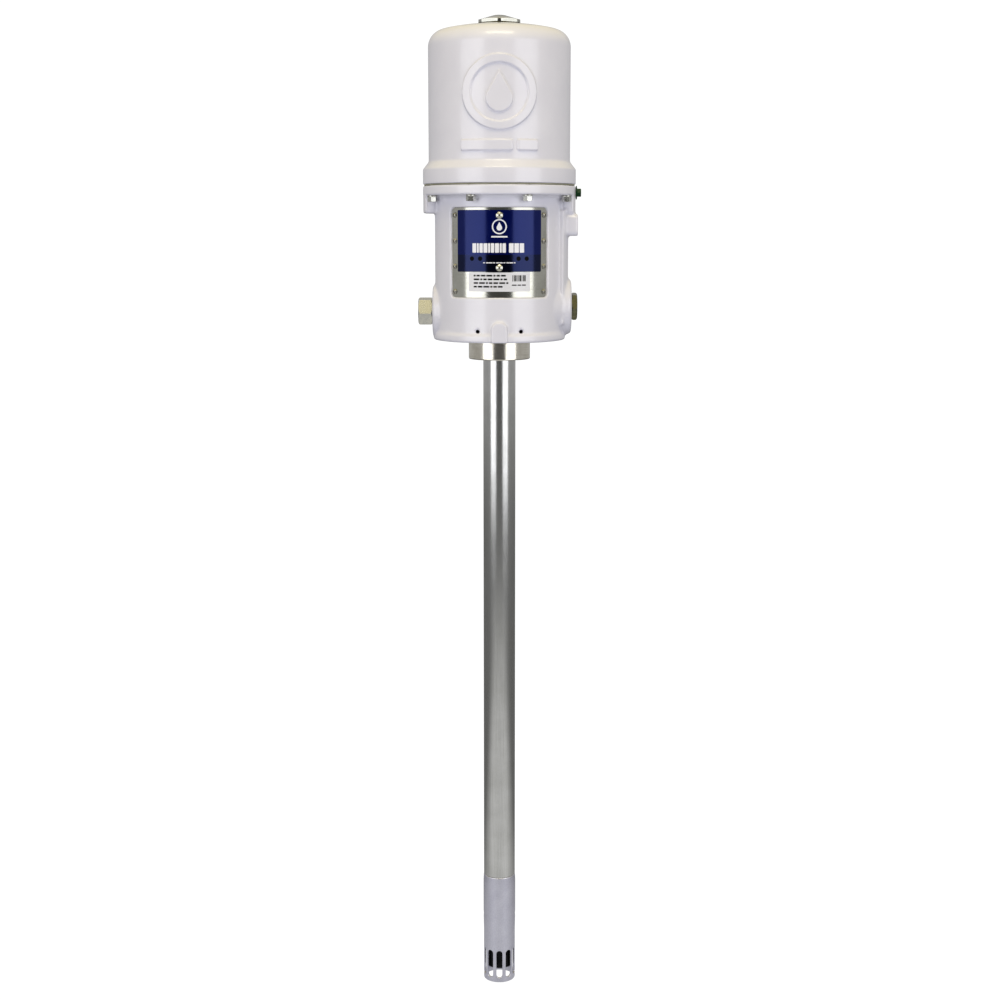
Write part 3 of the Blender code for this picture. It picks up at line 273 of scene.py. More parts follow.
TURNED = 18.0, 18.0, 2600.0  # the fine rings of a turned or rolled surface
METALS = {
    "tube_steel": ((222, 222, 220), (196, 196, 192), 0.17, 0.26, (2600.0, 2600.0, 14.0), 0.003, 26.0),
    "bare_steel": ((238, 234, 222), (212, 206, 190), 0.15, 0.24, TURNED, 0.004, 60.0),
    "machined_aluminium": ((212, 214, 216), (184, 186, 190), 0.28, 0.42, TURNED, 0.010),
    "zinc_plated_steel": ((212, 211, 202), (194, 195, 190), 0.22, 0.32, 260, 0.004, 70.0),
    "foot_steel": ((226, 226, 238), (206, 206, 221), 0.36, 0.48, 700, 0.020, 60.0),
    "dark_steel": ((122, 120, 96), (80, 80, 62), 0.14, 0.26, 500, 0.006, 80.0),
    # painted shadow: near-black colour for the intake seat, standing in for the shade inside the foot behind
    # its slots
    "painted_shadow_steel": ((34, 34, 36), (14, 14, 16), 0.16, 0.26, 400, 0.004, 80.0),
    "stainless_sheet": ((206, 205, 194), (180, 179, 167), 0.13, 0.20, TURNED, 0.0006, 50.0),
    "brass_alloy": ((214, 188, 120), (186, 156, 88), 0.26, 0.40, TURNED, 0.010),
    "chromed_rod": ((222, 224, 228), (206, 208, 214), 0.08, 0.16, 300, 0.002, 40.0),
    "screw_steel": ((196, 194, 186), (120, 118, 108), 0.18, 0.34, 600, 0.010, 200.0),
}
OTHERS = {
    "black_rubber": ((50, 48, 34), (30, 28, 20), 0.55, 0.75, 900, 0.05),
    "gasket_fibre": ((176, 174, 152), (150, 148, 126), 0.6, 0.8, 700, 0.03),
    "muffler_foam": ((120, 120, 122), (52, 52, 56), 0.9, 1.0, 420, 0.8),
    "seal_plastic": ((232, 226, 206), (214, 206, 184), 0.4, 0.5, 700, 0.02),
    "green_coating": ((6, 74, 30), (2, 44, 16), 0.34, 0.46, 600, 0.02, 0.2),
    "white_label": ((230, 230, 236), (220, 220, 228), 0.24, 0.32, 1200, 0.006),
    "print_white": ((244, 244, 250), (232, 232, 242), 0.28, 0.36, 1200, 0.004),
    "print_black": ((16, 16, 19), (5, 5, 8), 0.5, 0.65, 1200, 0.004, 0.04),
}
MATERIALS = {"white_paint": paint(), "blue_badge": badge_enamel()}
MATERIALS |= {name: grained_metal(name, *look) for name, look in METALS.items()}
MATERIALS |= {name: moulded(name, *look) for name, look in OTHERS.items()}


# Shapes: each returns a bmesh in millimetres, or the outline of one


def rounded(corners, steps=5):
    """A closed outline from (x, y, rounding) corners, with an arc at each corner that has a rounding."""
    points = []
    for index, corner in enumerate(corners):
        here = np.array(corner[:2], float)
        radius = corner[2] if len(corner) > 2 else 0.0
        before = np.array(corners[index - 1][:2], float) - here
        after = np.array(corners[index + 1 - len(corners)][:2], float) - here
        reach_before, reach_after = np.linalg.norm(before), np.linalg.norm(after)
        before, after = before / reach_before, after / reach_after
        half = math.acos(max(-1.0, min(1.0, float(before @ after)))) / 2
        if radius <= 0 or half > math.pi / 2 - 0.01:
            points.append(tuple(here))
            continue
        tangent = min(radius / math.tan(half), 0.48 * reach_before, 0.48 * reach_after)
        radius = tangent * math.tan(half)
        middle = here + (before + after) / np.linalg.norm(before + after) * radius / math.sin(half)
        start, end = here + before * tangent - middle, here + after * tangent - middle
        sweep = math.atan2(start[0] * end[1] - start[1] * end[0], float(start @ end))
        for step in range(steps + 1):
            turn = sweep * step / steps
            x = start[0] * math.cos(turn) - start[1] * math.sin(turn)
            y = start[0] * math.sin(turn) + start[1] * math.cos(turn)
            points.append((middle[0] + x, middle[1] + y))
    return points


def arc(centre_r, centre_z, radius, start, end, steps, skip=0):
    """Points of an outline on an arc, between two angles from the Z axis in radians."""
    points = []
    for step in range(skip, steps + 1):
        angle = start + (end - start) * step / steps
        points.append((centre_r + radius * math.sin(angle), centre_z + radius * math.cos(angle)))
    return points


def turned(corners, sides=MIDDLE, steps=5, angles=None):
    """Turns a closed (radius, height, rounding) outline round the Z axis; angles may list the columns."""
    outline = rounded(corners, steps)
    turns = angles if angles is not None else [360 * side / sides for side in range(sides)]
    bm = bmesh.new()
    columns = []
    poles = {}
    for turn in turns:
        angle = math.radians(turn)
        column = []
        for index, (radius, height) in enumerate(outline):
            if radius < 1e-6:
                if index not in poles:
                    poles[index] = bm.verts.new((0, 0, height))
                column.append(poles[index])
                continue
            column.append(bm.verts.new((radius * math.sin(angle), -radius * math.cos(angle), height)))
        columns.append(column)
    for left, right in zip(columns, columns[1:] + columns[:1]):
        for index in range(len(outline)):
            after = (index + 1) % len(outline)
            face = dict.fromkeys((left[index], right[index], right[after], left[after]))
            if len(face) > 2:
                bm.faces.new(list(face))
    bmesh.ops.recalc_face_normals(bm, faces=bm.faces)
    return bm


def prism(outline, low, high):
    """Extrudes an (x, y) outline from z = low to z = high."""
    bm = bmesh.new()
    face = bm.faces.new([bm.verts.new((x, y, low)) for x, y in outline])
    extruded = bmesh.ops.extrude_face_region(bm, geom=[face])
    top = [item for item in extruded["geom"] if isinstance(item, bmesh.types.BMVert)]
    bmesh.ops.translate(bm, vec=(0, 0, high - low), verts=top)
    bmesh.ops.recalc_face_normals(bm, faces=bm.faces)
    return bm


def circle(radius, sides, x=0.0, y=0.0, turn=0.0):
    step, start = 2 * math.pi / sides, math.radians(turn)
    angles = [start + step * side for side in range(sides)]
    return [(x + radius * math.cos(angle), y + radius * math.sin(angle)) for angle in angles]


def rectangle(half_x, low_y, high_y, corner, steps=8, x=0.0):
    left, right = x - half_x, x + half_x
    outline = [(left, low_y, corner), (right, low_y, corner), (right, high_y, corner), (left, high_y, corner)]
    return rounded(outline, steps)


def cylinder(radius, low, high, sides=MIDDLE):
    return prism(circle(radius, sides, turn=1.7), low, high)


def bent(outline, inner_r, outer_r, facing=0.0, fold=1.5):
    """A flat (arc length, height) outline laid round the Z axis, between two radii."""
    bm = bmesh.new()
    bm.faces.new([bm.verts.new((u, 0, z)) for u, z in outline])
    middle_r = (inner_r + outer_r) / 2
    half_angle = math.degrees(max(abs(u) for u, z in outline) / middle_r)
    lines = math.floor(half_angle / fold)
    for number in range(-lines, lines + 1):
        at = math.radians(number * fold) * middle_r
        geometry = bm.verts[:] + bm.edges[:] + bm.faces[:]
        bmesh.ops.bisect_plane(bm, geom=geometry, plane_co=(at, 0, 0), plane_no=(1, 0, 0), dist=1e-4)
    extruded = bmesh.ops.extrude_face_region(bm, geom=bm.faces[:])
    outside = {item for item in extruded["geom"] if isinstance(item, bmesh.types.BMVert)}
    for vert in bm.verts:
        angle = vert.co.x / middle_r + math.radians(facing)
        radius = outer_r if vert in outside else inner_r
        vert.co = Vector((radius * math.sin(angle), -radius * math.cos(angle), vert.co.z))
    bmesh.ops.recalc_face_normals(bm, faces=bm.faces)
    return bm


def panel(half_angle, low, high, corner, inner_r, outer_r, facing=0.0, fold=1.5):
    """A rounded rectangle bent round the Z axis."""
    half = math.radians(half_angle) * (inner_r + outer_r) / 2
    return bent(rectangle(half, low, high, corner), inner_r, outer_r, facing, fold)


def hex_head(
    flats, low, high, top_chamfer=True, low_chamfer=False, steps=10, flat=0.96, cone=30.0, corner_r=1e3,
):
    """A hexagon along +Z whose ends are chamfered by a cone, as a real nut's are.

    flat is the radius of the end's flat middle as a share of the half width, cone the cone's slope, and
    corner_r the radius to which the corners are turned down.
    """
    apothem = flats / 2
    chamfer_r = apothem * flat
    bm = bmesh.new()
    columns = []
    for number in range(6 * steps):
        angle = 2 * math.pi * number / (6 * steps)
        from_flat = (angle + math.pi / 6) % (math.pi / 3) - math.pi / 6
        reach = min(apothem / math.cos(from_flat), corner_r)
        drop = (reach - chamfer_r) * math.tan(math.radians(cone))
        low_r, low_edge = (chamfer_r * 0.999, low + drop) if low_chamfer else (reach * 0.98, low)
        high_r, high_edge = (chamfer_r * 0.999, high - drop) if top_chamfer else (reach * 0.98, high)
        rings = [(low_r, low), (reach, low_edge), (reach, high_edge), (high_r, high)]
        columns.append([bm.verts.new((r * math.cos(angle), r * math.sin(angle), z)) for r, z in rings])
    for left, right in zip(columns, columns[1:] + columns[:1]):
        for row in range(len(left) - 1):
            bm.faces.new((left[row], right[row], right[row + 1], left[row + 1]))
    bm.faces.new([column[0] for column in columns])
    bm.faces.new([column[-1] for column in columns])
    bmesh.ops.recalc_face_normals(bm, faces=bm.faces)
    return bm


def screw_thread(shank_r, low, high, pitch, depth):
    """Corners of a threaded shank's side, from low to high."""
    corners = []
    for turn in range(int((high - low) / pitch)):
        z = low + turn * pitch
        corners += [(shank_r - depth, z), (shank_r, z + pitch / 2)]
    return corners


# Places: matrices that carry what is made along +Z, and what they carry


def shift(x=0.0, y=0.0, z=0.0):
    return Matrix.Translation((x, y, z))


def spin(degrees, axis):
    return Matrix.Rotation(math.radians(degrees), 4, axis)


def around(angle, radius, z=0.0):
    """Carries from the axis out to a radius, at an angle from the front."""
    return spin(angle, "Z") @ shift(y=-radius, z=z)


def outward(angle=0.0, radius=0.0, z=0.0):
    """Stands something on a cylinder of that radius, pointing outwards at height z."""
    return shift(z=z) @ around(angle, radius) @ spin(90, "X")


def moved(shape, matrix):
    shape.transform(matrix)
    return shape


def along_x(shape, side=1, z=0.0):
    """Lays a shape on the X axis, towards +X or -X, at height z."""
    return moved(shape, shift(z=z) @ spin(90 * side, "Y"))


def cover_screw_holes(low, high):
    holes = []
    for number in range(8):
        hole = cylinder(COVER_SCREW_HOLE_R, low, high, SMALL)
        holes.append(moved(hole, around(22.5 + 45 * number, COVER_SCREW_CIRCLE)))
    return holes


def place_of(node):
    """Angle from the front, and lowest and highest point, of a CAD node away from the axis."""
    low, high = span(node)
    middle = (low + high) / 2
    return math.degrees(math.atan2(middle.x, -middle.y)), low.z, high.z


def plate_place(node):
    """Angle from the front and height of a screw on one of the plates."""
    angle, low, high = place_of(node)
    return angle, (low + high) / 2 + PLATE_LIFT


def plate_screw_holes(nodes):
    radius, inner, outer = 1.8, 74.0, 84.0
    holes = []
    for node in nodes:
        angle, z = plate_place(node)
        holes.append(moved(cylinder(radius, inner, outer, SMALL), outward(angle, z=z)))
    return holes


# Pieces


def as_object(name, shape):
    """A new object in the scene from a shape in millimetres."""
    mesh = bpy.data.meshes.new(name)
    shape.transform(Matrix.Scale(MM, 4))
    shape.to_mesh(mesh)
    shape.free()
    thing = bpy.data.objects.new(name, mesh)
    bpy.context.scene.collection.objects.link(thing)
    return thing


def settled(thing):
    """Applies an object's modifiers to its mesh."""
    bpy.context.view_layer.update()
    depsgraph = bpy.context.evaluated_depsgraph_get()
    mesh = bpy.data.meshes.new_from_object(thing.evaluated_get(depsgraph))
    thing.modifiers.clear()
    thing.data = mesh
    return thing


def combine(thing, operation, shapes):
    """Joins shapes to an object (UNION) or cuts them out of it (DIFFERENCE)."""
    guides = bpy.data.collections.new(f"{thing.name}_guides")
    bpy.context.scene.collection.children.link(guides)
    for shape in shapes:
        guide = as_object(f"{thing.name}_guide", shape)
        bpy.context.scene.collection.objects.unlink(guide)
        guides.objects.link(guide)
    modifier = thing.modifiers.new(operation.lower(), "BOOLEAN")
    modifier.operation = operation
    modifier.solver = "MANIFOLD"
    modifier.operand_type = "COLLECTION"
    modifier.collection = guides
    settled(thing)
    for guide in list(guides.objects):
        bpy.data.objects.remove(guide)
    bpy.data.collections.remove(guides)
    return thing


def bevel(thing, width, limit=40.0, segments=2):
    """Adds a modifier that rounds an object's edges that are sharper than limit degrees."""
    modifier = thing.modifiers.new("edges", "BEVEL")
    modifier.width = width * MM
    modifier.segments = segments
    modifier.limit_method = "ANGLE"
    modifier.angle_limit = math.radians(limit)
    return thing


def mesh_points(mesh):
    """The mesh's points as rows of x, y and z, in metres."""
    points = np.empty(len(mesh.vertices) * 3)
    mesh.vertices.foreach_get("co", points)
    return points.reshape(-1, 3)


def as_casting(thing, voxel, rounds, weight):
    """Remeshes an object evenly and softens its edges as a sand casting's are.

    weight gives, for points in millimetres, how far each moves towards its neighbours in a round.
    """
    modifier = thing.modifiers.new("even", "REMESH")
    modifier.mode = "VOXEL"
    modifier.voxel_size = voxel * MM
    mesh = settled(thing).data
    points = mesh_points(mesh)
    count = len(points)
    edges = np.empty(len(mesh.edges) * 2, int)
    mesh.edges.foreach_get("vertices", edges)
    one, other = edges.reshape(-1, 2).T
    neighbours = np.bincount(one, minlength=count) + np.bincount(other, minlength=count)
    share = weight(points / MM)[:, None]
    for _ in range(rounds):
        total = np.empty_like(points)
        for axis in range(3):
            near = np.bincount(one, points[other, axis], count)
            total[:, axis] = near + np.bincount(other, points[one, axis], count)
        points += share * (total / neighbours[:, None] - points)
    mesh.vertices.foreach_set("co", points.ravel())
    mesh.update()


def piece(thing, material, nodes, sharp=35.0, flat=True):
    """Shades a piece of the root body, gives it its material and puts it in place of its CAD nodes.

    flat keeps the shading of large faces flat up to their rounded edges.
    """
    thing.data.materials.clear()
    thing.data.materials.append(MATERIALS[material])
    thing.data.shade_smooth()
    thing.data.set_sharp_from_angle(angle=math.radians(sharp))
    if flat:
        normals = thing.modifiers.new("normals", "WEIGHTED_NORMAL")
        normals.keep_sharp = True
    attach(thing, "root")
    if nodes:
        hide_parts(*nodes)


# Motor base


def base_corners():
    counterbore_r, ledge = 85.9, 184.0
    seal_r, seal_low, throat_r = 17.5, 62.0, 15.0
    rim_top, slope_top = 8.0, 12.0
    return [
        (BOTTOM_BORE_R, 0.0, 0.8), (RIM_R, 0.0, 2.2), (RIM_R, rim_top, 0.8), (BODY_R, slope_top, 0.8),
        (BODY_R, FLANGE_LOW, 4.0), (FLANGE_R, FLANGE_LOW, 1.6), (FLANGE_R, FLANGE_TOP, 1.2),
        (counterbore_r, FLANGE_TOP, 0.4), (counterbore_r, ledge, 0.4), (CHEST_R, ledge, 0.6),
        (CHEST_R, CHEST_FLOOR, 4.0), (TOWER_R, CHEST_FLOOR, 4.0), (TOWER_R, DECK_TOP, 1.5),
        (seal_r, DECK_TOP, 0.5), (seal_r, seal_low, 0.3), (throat_r, seal_low, 0.3),
        (throat_r, GALLERY_TOP, 0.3), (GALLERY_R, GALLERY_TOP, 3.0), (GALLERY_R, GALLERY_LOW, 1.0),
        (BOTTOM_BORE_R, GALLERY_LOW, 0.3),
    ]


def boss(radius, face_x, side, z):
    """A round boss whose root flares into the body."""
    root, flare = 62.0, 16.0
    corners = [(0, root), (radius + flare, root), (radius + 1.0, face_x - 11.0, 12.0), (radius, face_x, 5.0)]
    corners.append((0, face_x))
    return along_x(turned(corners, BIG // 2, 8), side, z)


def window_cuts(facing):
    """The recess that holds a plate, and the opening behind it."""
    half_angle, clearance, beyond_r = WINDOW_HALF_ANGLE + 0.2, 0.4, 92.0
    low, high = PLATE_LOW - clearance, PLATE_HIGH + clearance
    opening = 38.0, 86.0, 150.0  # half angle, lower and upper edge
    return [
        panel(half_angle, low, high, WINDOW_CORNER, RECESS_R, beyond_r, facing),
        panel(*opening, WINDOW_CORNER, CHEST_R - 4.0, RECESS_R + 1.0, facing, 2.3),
    ]


def casting_weight(points):
    """Softer edges round the bosses and under the flange, crisp ones at the windows and flange."""
    x, y, z = points.T
    out = np.hypot(x, y)
    weight = np.full(len(points), 0.30)
    bosses = (np.abs(x) > 62) & (z > 3) & (z < 80)
    duct = (x > 70) & (z >= 80) & (z < 172)
    far_lug = (x < -75) & (z > 140) & (z < 178)
    arch = (y < -78) & (np.abs(x) < 16) & (z < 32) & (z > 4)
    turned_faces = (out > 84) & (z > 178) & (np.abs(x) < 94)
    rim = (z < 15) & (np.abs(x) < 60)
    windows = (np.abs(y) > 40) & (z > 50) & (z < 168) & (out < 83)
    for region, share in (
        (bosses, 0.5), (duct, 0.45), (far_lug, 0.45), (arch, 0.3), (turned_faces, 0.15), (rim, 0.06),
        (windows, 0.12),
    ):
        weight[region] = share
    return weight


def make_motor_base():
    base = as_object("motor_base_casting", turned(base_corners(), BIG, 6))
    air_outline = rectangle(AIR_HALF_HEIGHT, -AIR_HALF_WIDTH, AIR_HALF_WIDTH, 6.0)
    half, low, top, back_y, face_y = 9.8, 0.4, 26.0, 78.3, 86.6
    arch = rounded([(-half, low), (half, low), (half, top, half), (-half, top, half)], 12)
    lug = 17.0, LUG_LOW, FLANGE_LOW + 2.0, 2.5, 76.3, FLANGE_R - 0.2
    ports = (-1, OUTLET_Z, OUTLET_BOSS_R, OUTLET_FACE_X), (1, PLUG_Z, PLUG_BOSS_R, PLUG_FACE_X)
    combine(base, "UNION", [
        panel(24.0, 20.0, LUG_LOW + 4.0, 2.0, 74.0, DUCT_R, 90.0),
        panel(*lug, 90.0),
        panel(*lug, -90.0),
        along_x(prism(air_outline, 72.0, AIR_FACE_X), z=AIR_Z),
        *[boss(radius, face_x, side, z) for side, z, radius, face_x in ports],
        moved(prism(arch, back_y, face_y), outward()),
    ])
    inner, outer, low, high = 50.0, CHEST_R - 0.2, CHEST_FLOOR + 0.2, 110.0
    inside_chest = [(inner, low), (outer, low), (outer, high), (inner, high)]
    combine(base, "DIFFERENCE", [turned(inside_chest, BIG, 1)])
    arm_start, arm_end = 29.0, 72.3
    combine(base, "UNION", [
        along_x(cylinder(PORT_ARM_R, arm_start, arm_end), side, z) for side, z, _, _ in ports
    ])
    cuts = window_cuts(0.0) + window_cuts(180.0)
    bore_start, bore_end = 21.7, 71.3
    for side, z, _, face_x in ports:
        cuts.append(along_x(cylinder(PORT_BORE_R, bore_start, bore_end), side, z))
        cuts.append(along_x(cylinder(PORT_SOCKET_R, PORT_SOCKET_X, face_x + 3.0), side, z))
    for x in (-85.0, 85.0):  # the bosses end level with the underside
        cuts.append(prism(rectangle(28.0, -60.0, 60.0, 1.0, 1, x), -40.0, 0.02))
    for x in (-VENT_X, VENT_X):
        cuts.append(moved(cylinder(VENT_R, 60.0, 92.0, SMALL), shift(x, z=VENT_Z) @ outward()))
    cuts.append(along_x(cylinder(AIR_BORE_R, 77.0, AIR_FACE_X + 3.0), z=AIR_Z))
    cuts.append(moved(cylinder(AIR_DUCT_R, AIR_Z, FLANGE_TOP + 2.0, SMALL), shift(AIR_DUCT_X)))
    cuts += cover_screw_holes(170.0, FLANGE_TOP + 2.0)
    combine(base, "DIFFERENCE", cuts)
    as_casting(base, 1.25, 8, casting_weight)
    piece(base, "white_paint", ["motor_base"], sharp=70.0, flat=False)


# Cover


def emblem(u, v):
    """Height, 0 to 1, of the raised sign on the cover: a drop in a ring over two plain bars."""
    ring_r, ring_half, slope = 39.5, 5.0, 1.5
    ring = np.abs(np.hypot(u, v) - ring_r) - ring_half
    tip, belly_v, belly_r = 25.0, -7.5, 16.0
    side = math.asin(belly_r / (tip - belly_v))
    across = np.abs(u) * math.cos(side) + (v - tip) * math.sin(side)
    joint_v = belly_v + belly_r * math.sin(side)
    drop = np.where(v > joint_v, across, np.hypot(u, v - belly_v) - belly_r)
    distance = np.minimum(ring, drop)
    bar_v, bar_half_v, bar_corner = -62.5, 4.5, 2.0
    for middle_u, half_u in ((-15.0, 29.0), (34.0, 10.0)):
        past_u = np.abs(u - middle_u) - half_u
        past_v = np.abs(v - bar_v) - bar_half_v
        outside = np.hypot(np.maximum(past_u, 0), np.maximum(past_v, 0))
        distance = np.minimum(distance, outside + np.minimum(np.maximum(past_u, past_v), 0) - bar_corner)
    rise = np.clip(0.5 - distance / slope, 0, 1)
    return rise * rise * (3 - 2 * rise)


def make_cover():
    sign_z, relief, sign_half_angle = 302.8, 2.6, 36.0
    seat_r, neck_r, hole_r, neck_low = 24.5, 17.0, 10.0, 372.3
    meet = math.asin((COVER_R - CROWN_CORNER_R) / (CROWN_R - CROWN_CORNER_R))
    inner_r = CROWN_CORNER_R - COVER_R + COVER_INNER_R
    wall_low, wall_high, rows = 228.0, CROWN_CORNER_Z - 4.0, 170
    quarter = math.pi / 2
    corner = COVER_R - CROWN_CORNER_R, CROWN_CORNER_Z
    outside = [(FLANGE_R, COVER_LOW, 1.2), (FLANGE_R, SKIRT_TOP, 5.0), (COVER_R, SHOULDER_TOP, 6.0)]
    outside += [(COVER_R, wall_low + (wall_high - wall_low) * row / rows) for row in range(rows + 1)]
    outside += arc(*corner, CROWN_CORNER_R, quarter, meet, 12)
    outside += arc(0.0, CROWN_TOP - CROWN_R, CROWN_R, meet, math.asin(seat_r / CROWN_R), 6, 1)
    outside += [(seat_r - 0.5, COVER_SEAT_Z, 0.4), (hole_r, COVER_SEAT_Z, 0.3)]
    inside = [(hole_r, neck_low), (neck_r, neck_low, 1.0), (neck_r, COVER_SEAT_Z - 5.5, 2.0)]
    inside += arc(*corner, inner_r, meet, quarter, 8)
    inside.append((COVER_INNER_R, COVER_LOW, 0.6))
    fine = list(np.arange(-sign_half_angle, sign_half_angle + 0.01, 0.5))
    coarse = list(np.linspace(sign_half_angle, 360 - sign_half_angle, 116))[1:-1]

    cover = as_object("cylinder_cover", turned(outside + inside, steps=6, angles=fine + coarse))
    points = mesh_points(cover.data)
    x, y, z = (points / MM).T
    on_wall = (np.abs(np.hypot(x, y) - COVER_R) < 0.01) & (y < 0) & (z > wall_low)
    rise = np.where(on_wall, emblem(x, z - sign_z), 0.0) * relief
    points[:, :2] *= (1 + rise / COVER_R)[:, None]
    cover.data.vertices.foreach_set("co", points.ravel())
    combine(cover, "DIFFERENCE", cover_screw_holes(COVER_LOW - 2.0, 209.0))
    piece(cover, "white_paint", ["air_cylinder_cover"], sharp=50.0, flat=False)


def make_gasket():
    low, high = span("cover_gasket")
    inner_r, outer_r = 86.5, high.y
    corners = [(inner_r, low.z, 0.2), (outer_r, low.z, 0.4), (outer_r, high.z, 0.4), (inner_r, high.z, 0.2)]
    gasket = as_object("cover_gasket_ring", turned(corners, BIG, 2))
    combine(gasket, "DIFFERENCE", cover_screw_holes(low.z - 2.0, high.z + 2.0))
    piece(gasket, "gasket_fibre", ["cover_gasket"])


# Screws and fittings


def socket_head(head_r, head_height, shank_r, length, socket_r):
    """A round-headed screw with a hexagon socket; its head sits on z = 0."""
    corners = [(0, -length), (shank_r - 0.4, -length, 0.2)]
    corners += screw_thread(shank_r, 0.4 - length, -0.6, 0.7, 0.3)
    corners += [(shank_r, 0.0), (head_r, 0.0, 0.15), (head_r, 0.5, 0.3)]
    sphere = (head_r**2 + head_height**2) / (2 * head_height)
    for step in range(1, 6):
        radius = head_r * (1 - step / 7)
        corners.append((radius, math.sqrt(sphere**2 - radius**2) + head_height - sphere + 0.1))
    corners.append((0, head_height + 0.1))
    screw = as_object("screw", turned(corners, SMALL, 2))
    hole = prism(circle(socket_r, 6), head_height - 1.3, head_height + 2.0)
    combine(screw, "DIFFERENCE", [hole])
    return settled(bevel(screw, 0.08, 50.0, 1))


def set_out(original, name, node, matrix, material):
    """A copy of a fastener in the place of its CAD node."""
    copy = bpy.data.objects.new(name, original.data.copy())
    bpy.context.scene.collection.objects.link(copy)
    scaled = matrix.copy()
    scaled.translation = matrix.translation * MM
    copy.data.transform(scaled)
    piece(copy, material, [node])


def make_plate_screws():
    screw, rivet = (3.3, 2.0, 1.5, 7.0, 1.4), (4.2, 1.9, 1.5, 2.9, 1.4)
    for sizes, nodes, seat_r, material, slot in (
        (screw, PLATE_SCREWS + REAR_SCREWS, PLATE_R + GAP, "screw_steel", "zinc_plated_steel"),
        (rivet, BADGE_SCREWS, BADGE_R + GAP, "stainless_sheet", None),
    ):
        original = socket_head(*sizes)
        for node in nodes:
            angle, z = plate_place(node)
            set_out(original, f"{node}_head", node, outward(angle, seat_r, z), material)
        bpy.data.objects.remove(original)


def make_cover_screws():
    head_flats, head_height, washer, washer_r = 10.5, 7.6, 1.4, 6.2
    shank_r, shank_top = 3.3, 26.0
    spread = 9.0  # degrees from one screw to the next, so that no two heads stand alike
    shank = [(0, -washer - 0.5), (washer_r - 0.6, -washer - 0.5), (washer_r, -washer + 0.3, 0.3)]
    shank += [(washer_r, 0.0, 0.2), (shank_r, 0.0)]
    shank += screw_thread(shank_r, 3.0, shank_top - 1.0, 1.0, 0.45)
    shank += [(shank_r - 0.8, shank_top), (0, shank_top)]
    screw = as_object("screw", turned(shank, SMALL, 2))
    combine(screw, "UNION", [hex_head(head_flats, -head_height, -washer, False, True)])
    combine(screw, "DIFFERENCE", [cylinder(2.6, -head_height - 1.0, -head_height + 0.7, SMALL)])
    settled(bevel(screw, 0.15, 30.0))
    for number in range(1, 9):
        node = f"cover_screw_{number}"
        angle, low, _ = place_of(node)
        place = around(angle, COVER_SCREW_CIRCLE, low + head_height) @ spin(angle + spread * number, "Z")
        set_out(screw, f"{node}_hex", node, place, "zinc_plated_steel")
    bpy.data.objects.remove(screw)


def port_fitting(node, flats, boss_face, face, hollow, side, port_z):
    """A hexagon on a threaded shank, screwed into the port on one side of the base."""
    low = boss_face + GAP
    shank_r, shank_low = PORT_SOCKET_R - GAP, PORT_SOCKET_X + GAP
    shank = [(0, shank_low), (shank_r - 1.0, shank_low, 0.3)]
    shank += screw_thread(shank_r, shank_low + 1.0, low - 0.5, 1.8, 0.8)
    shank += [(shank_r - 1.2, low + 1.5), (0, low + 1.5)]
    fitting = as_object(f"{node}_hex", hex_head(flats, low, face, low_chamfer=True))
    combine(fitting, "UNION", [turned(shank, MIDDLE, 2)])
    combine(fitting, "DIFFERENCE", [hollow])
    settled(bevel(fitting, 0.35, 28.0))
    fitting.data.transform(shift(z=port_z * MM) @ spin(8, "X") @ spin(90 * side, "Y"))
    return fitting


def make_outlet_adapter():
    face = -span("outlet_adapter")[0].x
    bore = [(0, 60.0), (PORT_BORE_R, 60.0), (PORT_BORE_R, face - 14.0)]
    bore += screw_thread(PORT_BORE_R + 0.9, face - 13.0, face - 1.2, 1.4, 0.9)
    bore += [(PORT_BORE_R + 1.6, face + 0.6), (0, face + 0.6)]
    hollow = turned(bore, MIDDLE, 2)
    adapter = port_fitting("outlet_adapter", 31.75, OUTLET_FACE_X, face, hollow, -1, OUTLET_Z)
    piece(adapter, "zinc_plated_steel", ["outlet_adapter"])


def dish(radius, face, depth, rounding, flare):
    """A shallow round hollow in a face, to be cut out."""
    low, high = face - depth, face + 1.0
    return turned([(0, low), (radius, low, rounding), (radius + flare, high), (0, high)], MIDDLE, 2)


def make_port_plug():
    face = span("port_plug")[1].x
    hollow = dish(9.0, face, 0.8, 0.4, 0.6)
    plug = port_fitting("port_plug", 32.0, PLUG_FACE_X, face, hollow, 1, PLUG_Z)
    piece(plug, "dark_steel", ["port_plug"])


def make_ground_screw():
    low, high = span("ground_screw")
    seat, z = FLANGE_R + GAP, (low.z + high.z) / 2
    shank_r, washer_r, washer_top = 3.0, 8.5, seat + 1.2
    corners = [(0, low.x), (shank_r - 0.3, low.x, 0.3)]
    corners += screw_thread(shank_r, low.x + 0.5, seat - 0.3, 0.9, 0.4)
    corners += [(shank_r, seat), (washer_r, seat, 0.3), (washer_r, washer_top, 0.4)]
    corners += [(5.6, seat + 1.6, 0.3), (0, seat + 1.6)]
    ground = as_object("ground_screw_hex", turned(corners, SMALL, 2))
    combine(ground, "UNION", [hex_head(10.0, washer_top, high.x)])
    slot = prism(rectangle(0.7, -8.0, 8.0, 0.1, 1), high.x - 1.2, high.x + 1.0)
    combine(ground, "DIFFERENCE", [moved(slot, Matrix.Rotation(0.6, 4, "Z"))])
    settled(bevel(ground, 0.2, 28.0))
    ground.data.transform(shift(z=z * MM) @ spin(90, "Y"))
    piece(ground, "green_coating", ["ground_screw"])


def make_air_inlet_thread():
    outer, inner, low, high = AIR_BORE_R + 0.4, AIR_BORE_R - 1.3, AIR_FACE_X - 17.0, AIR_FACE_X - 0.8
    corners = [(outer, low), (outer, high), (AIR_BORE_R, high)]
    corners += screw_thread(inner + 0.9, low + 0.6, high - 0.8, 1.4, 0.9)[::-1] + [(inner, low)]
    thread = as_object("air_inlet_thread", along_x(turned(corners, MIDDLE, 2), z=AIR_Z))
    piece(thread, "machined_aluminium", [], flat=False)


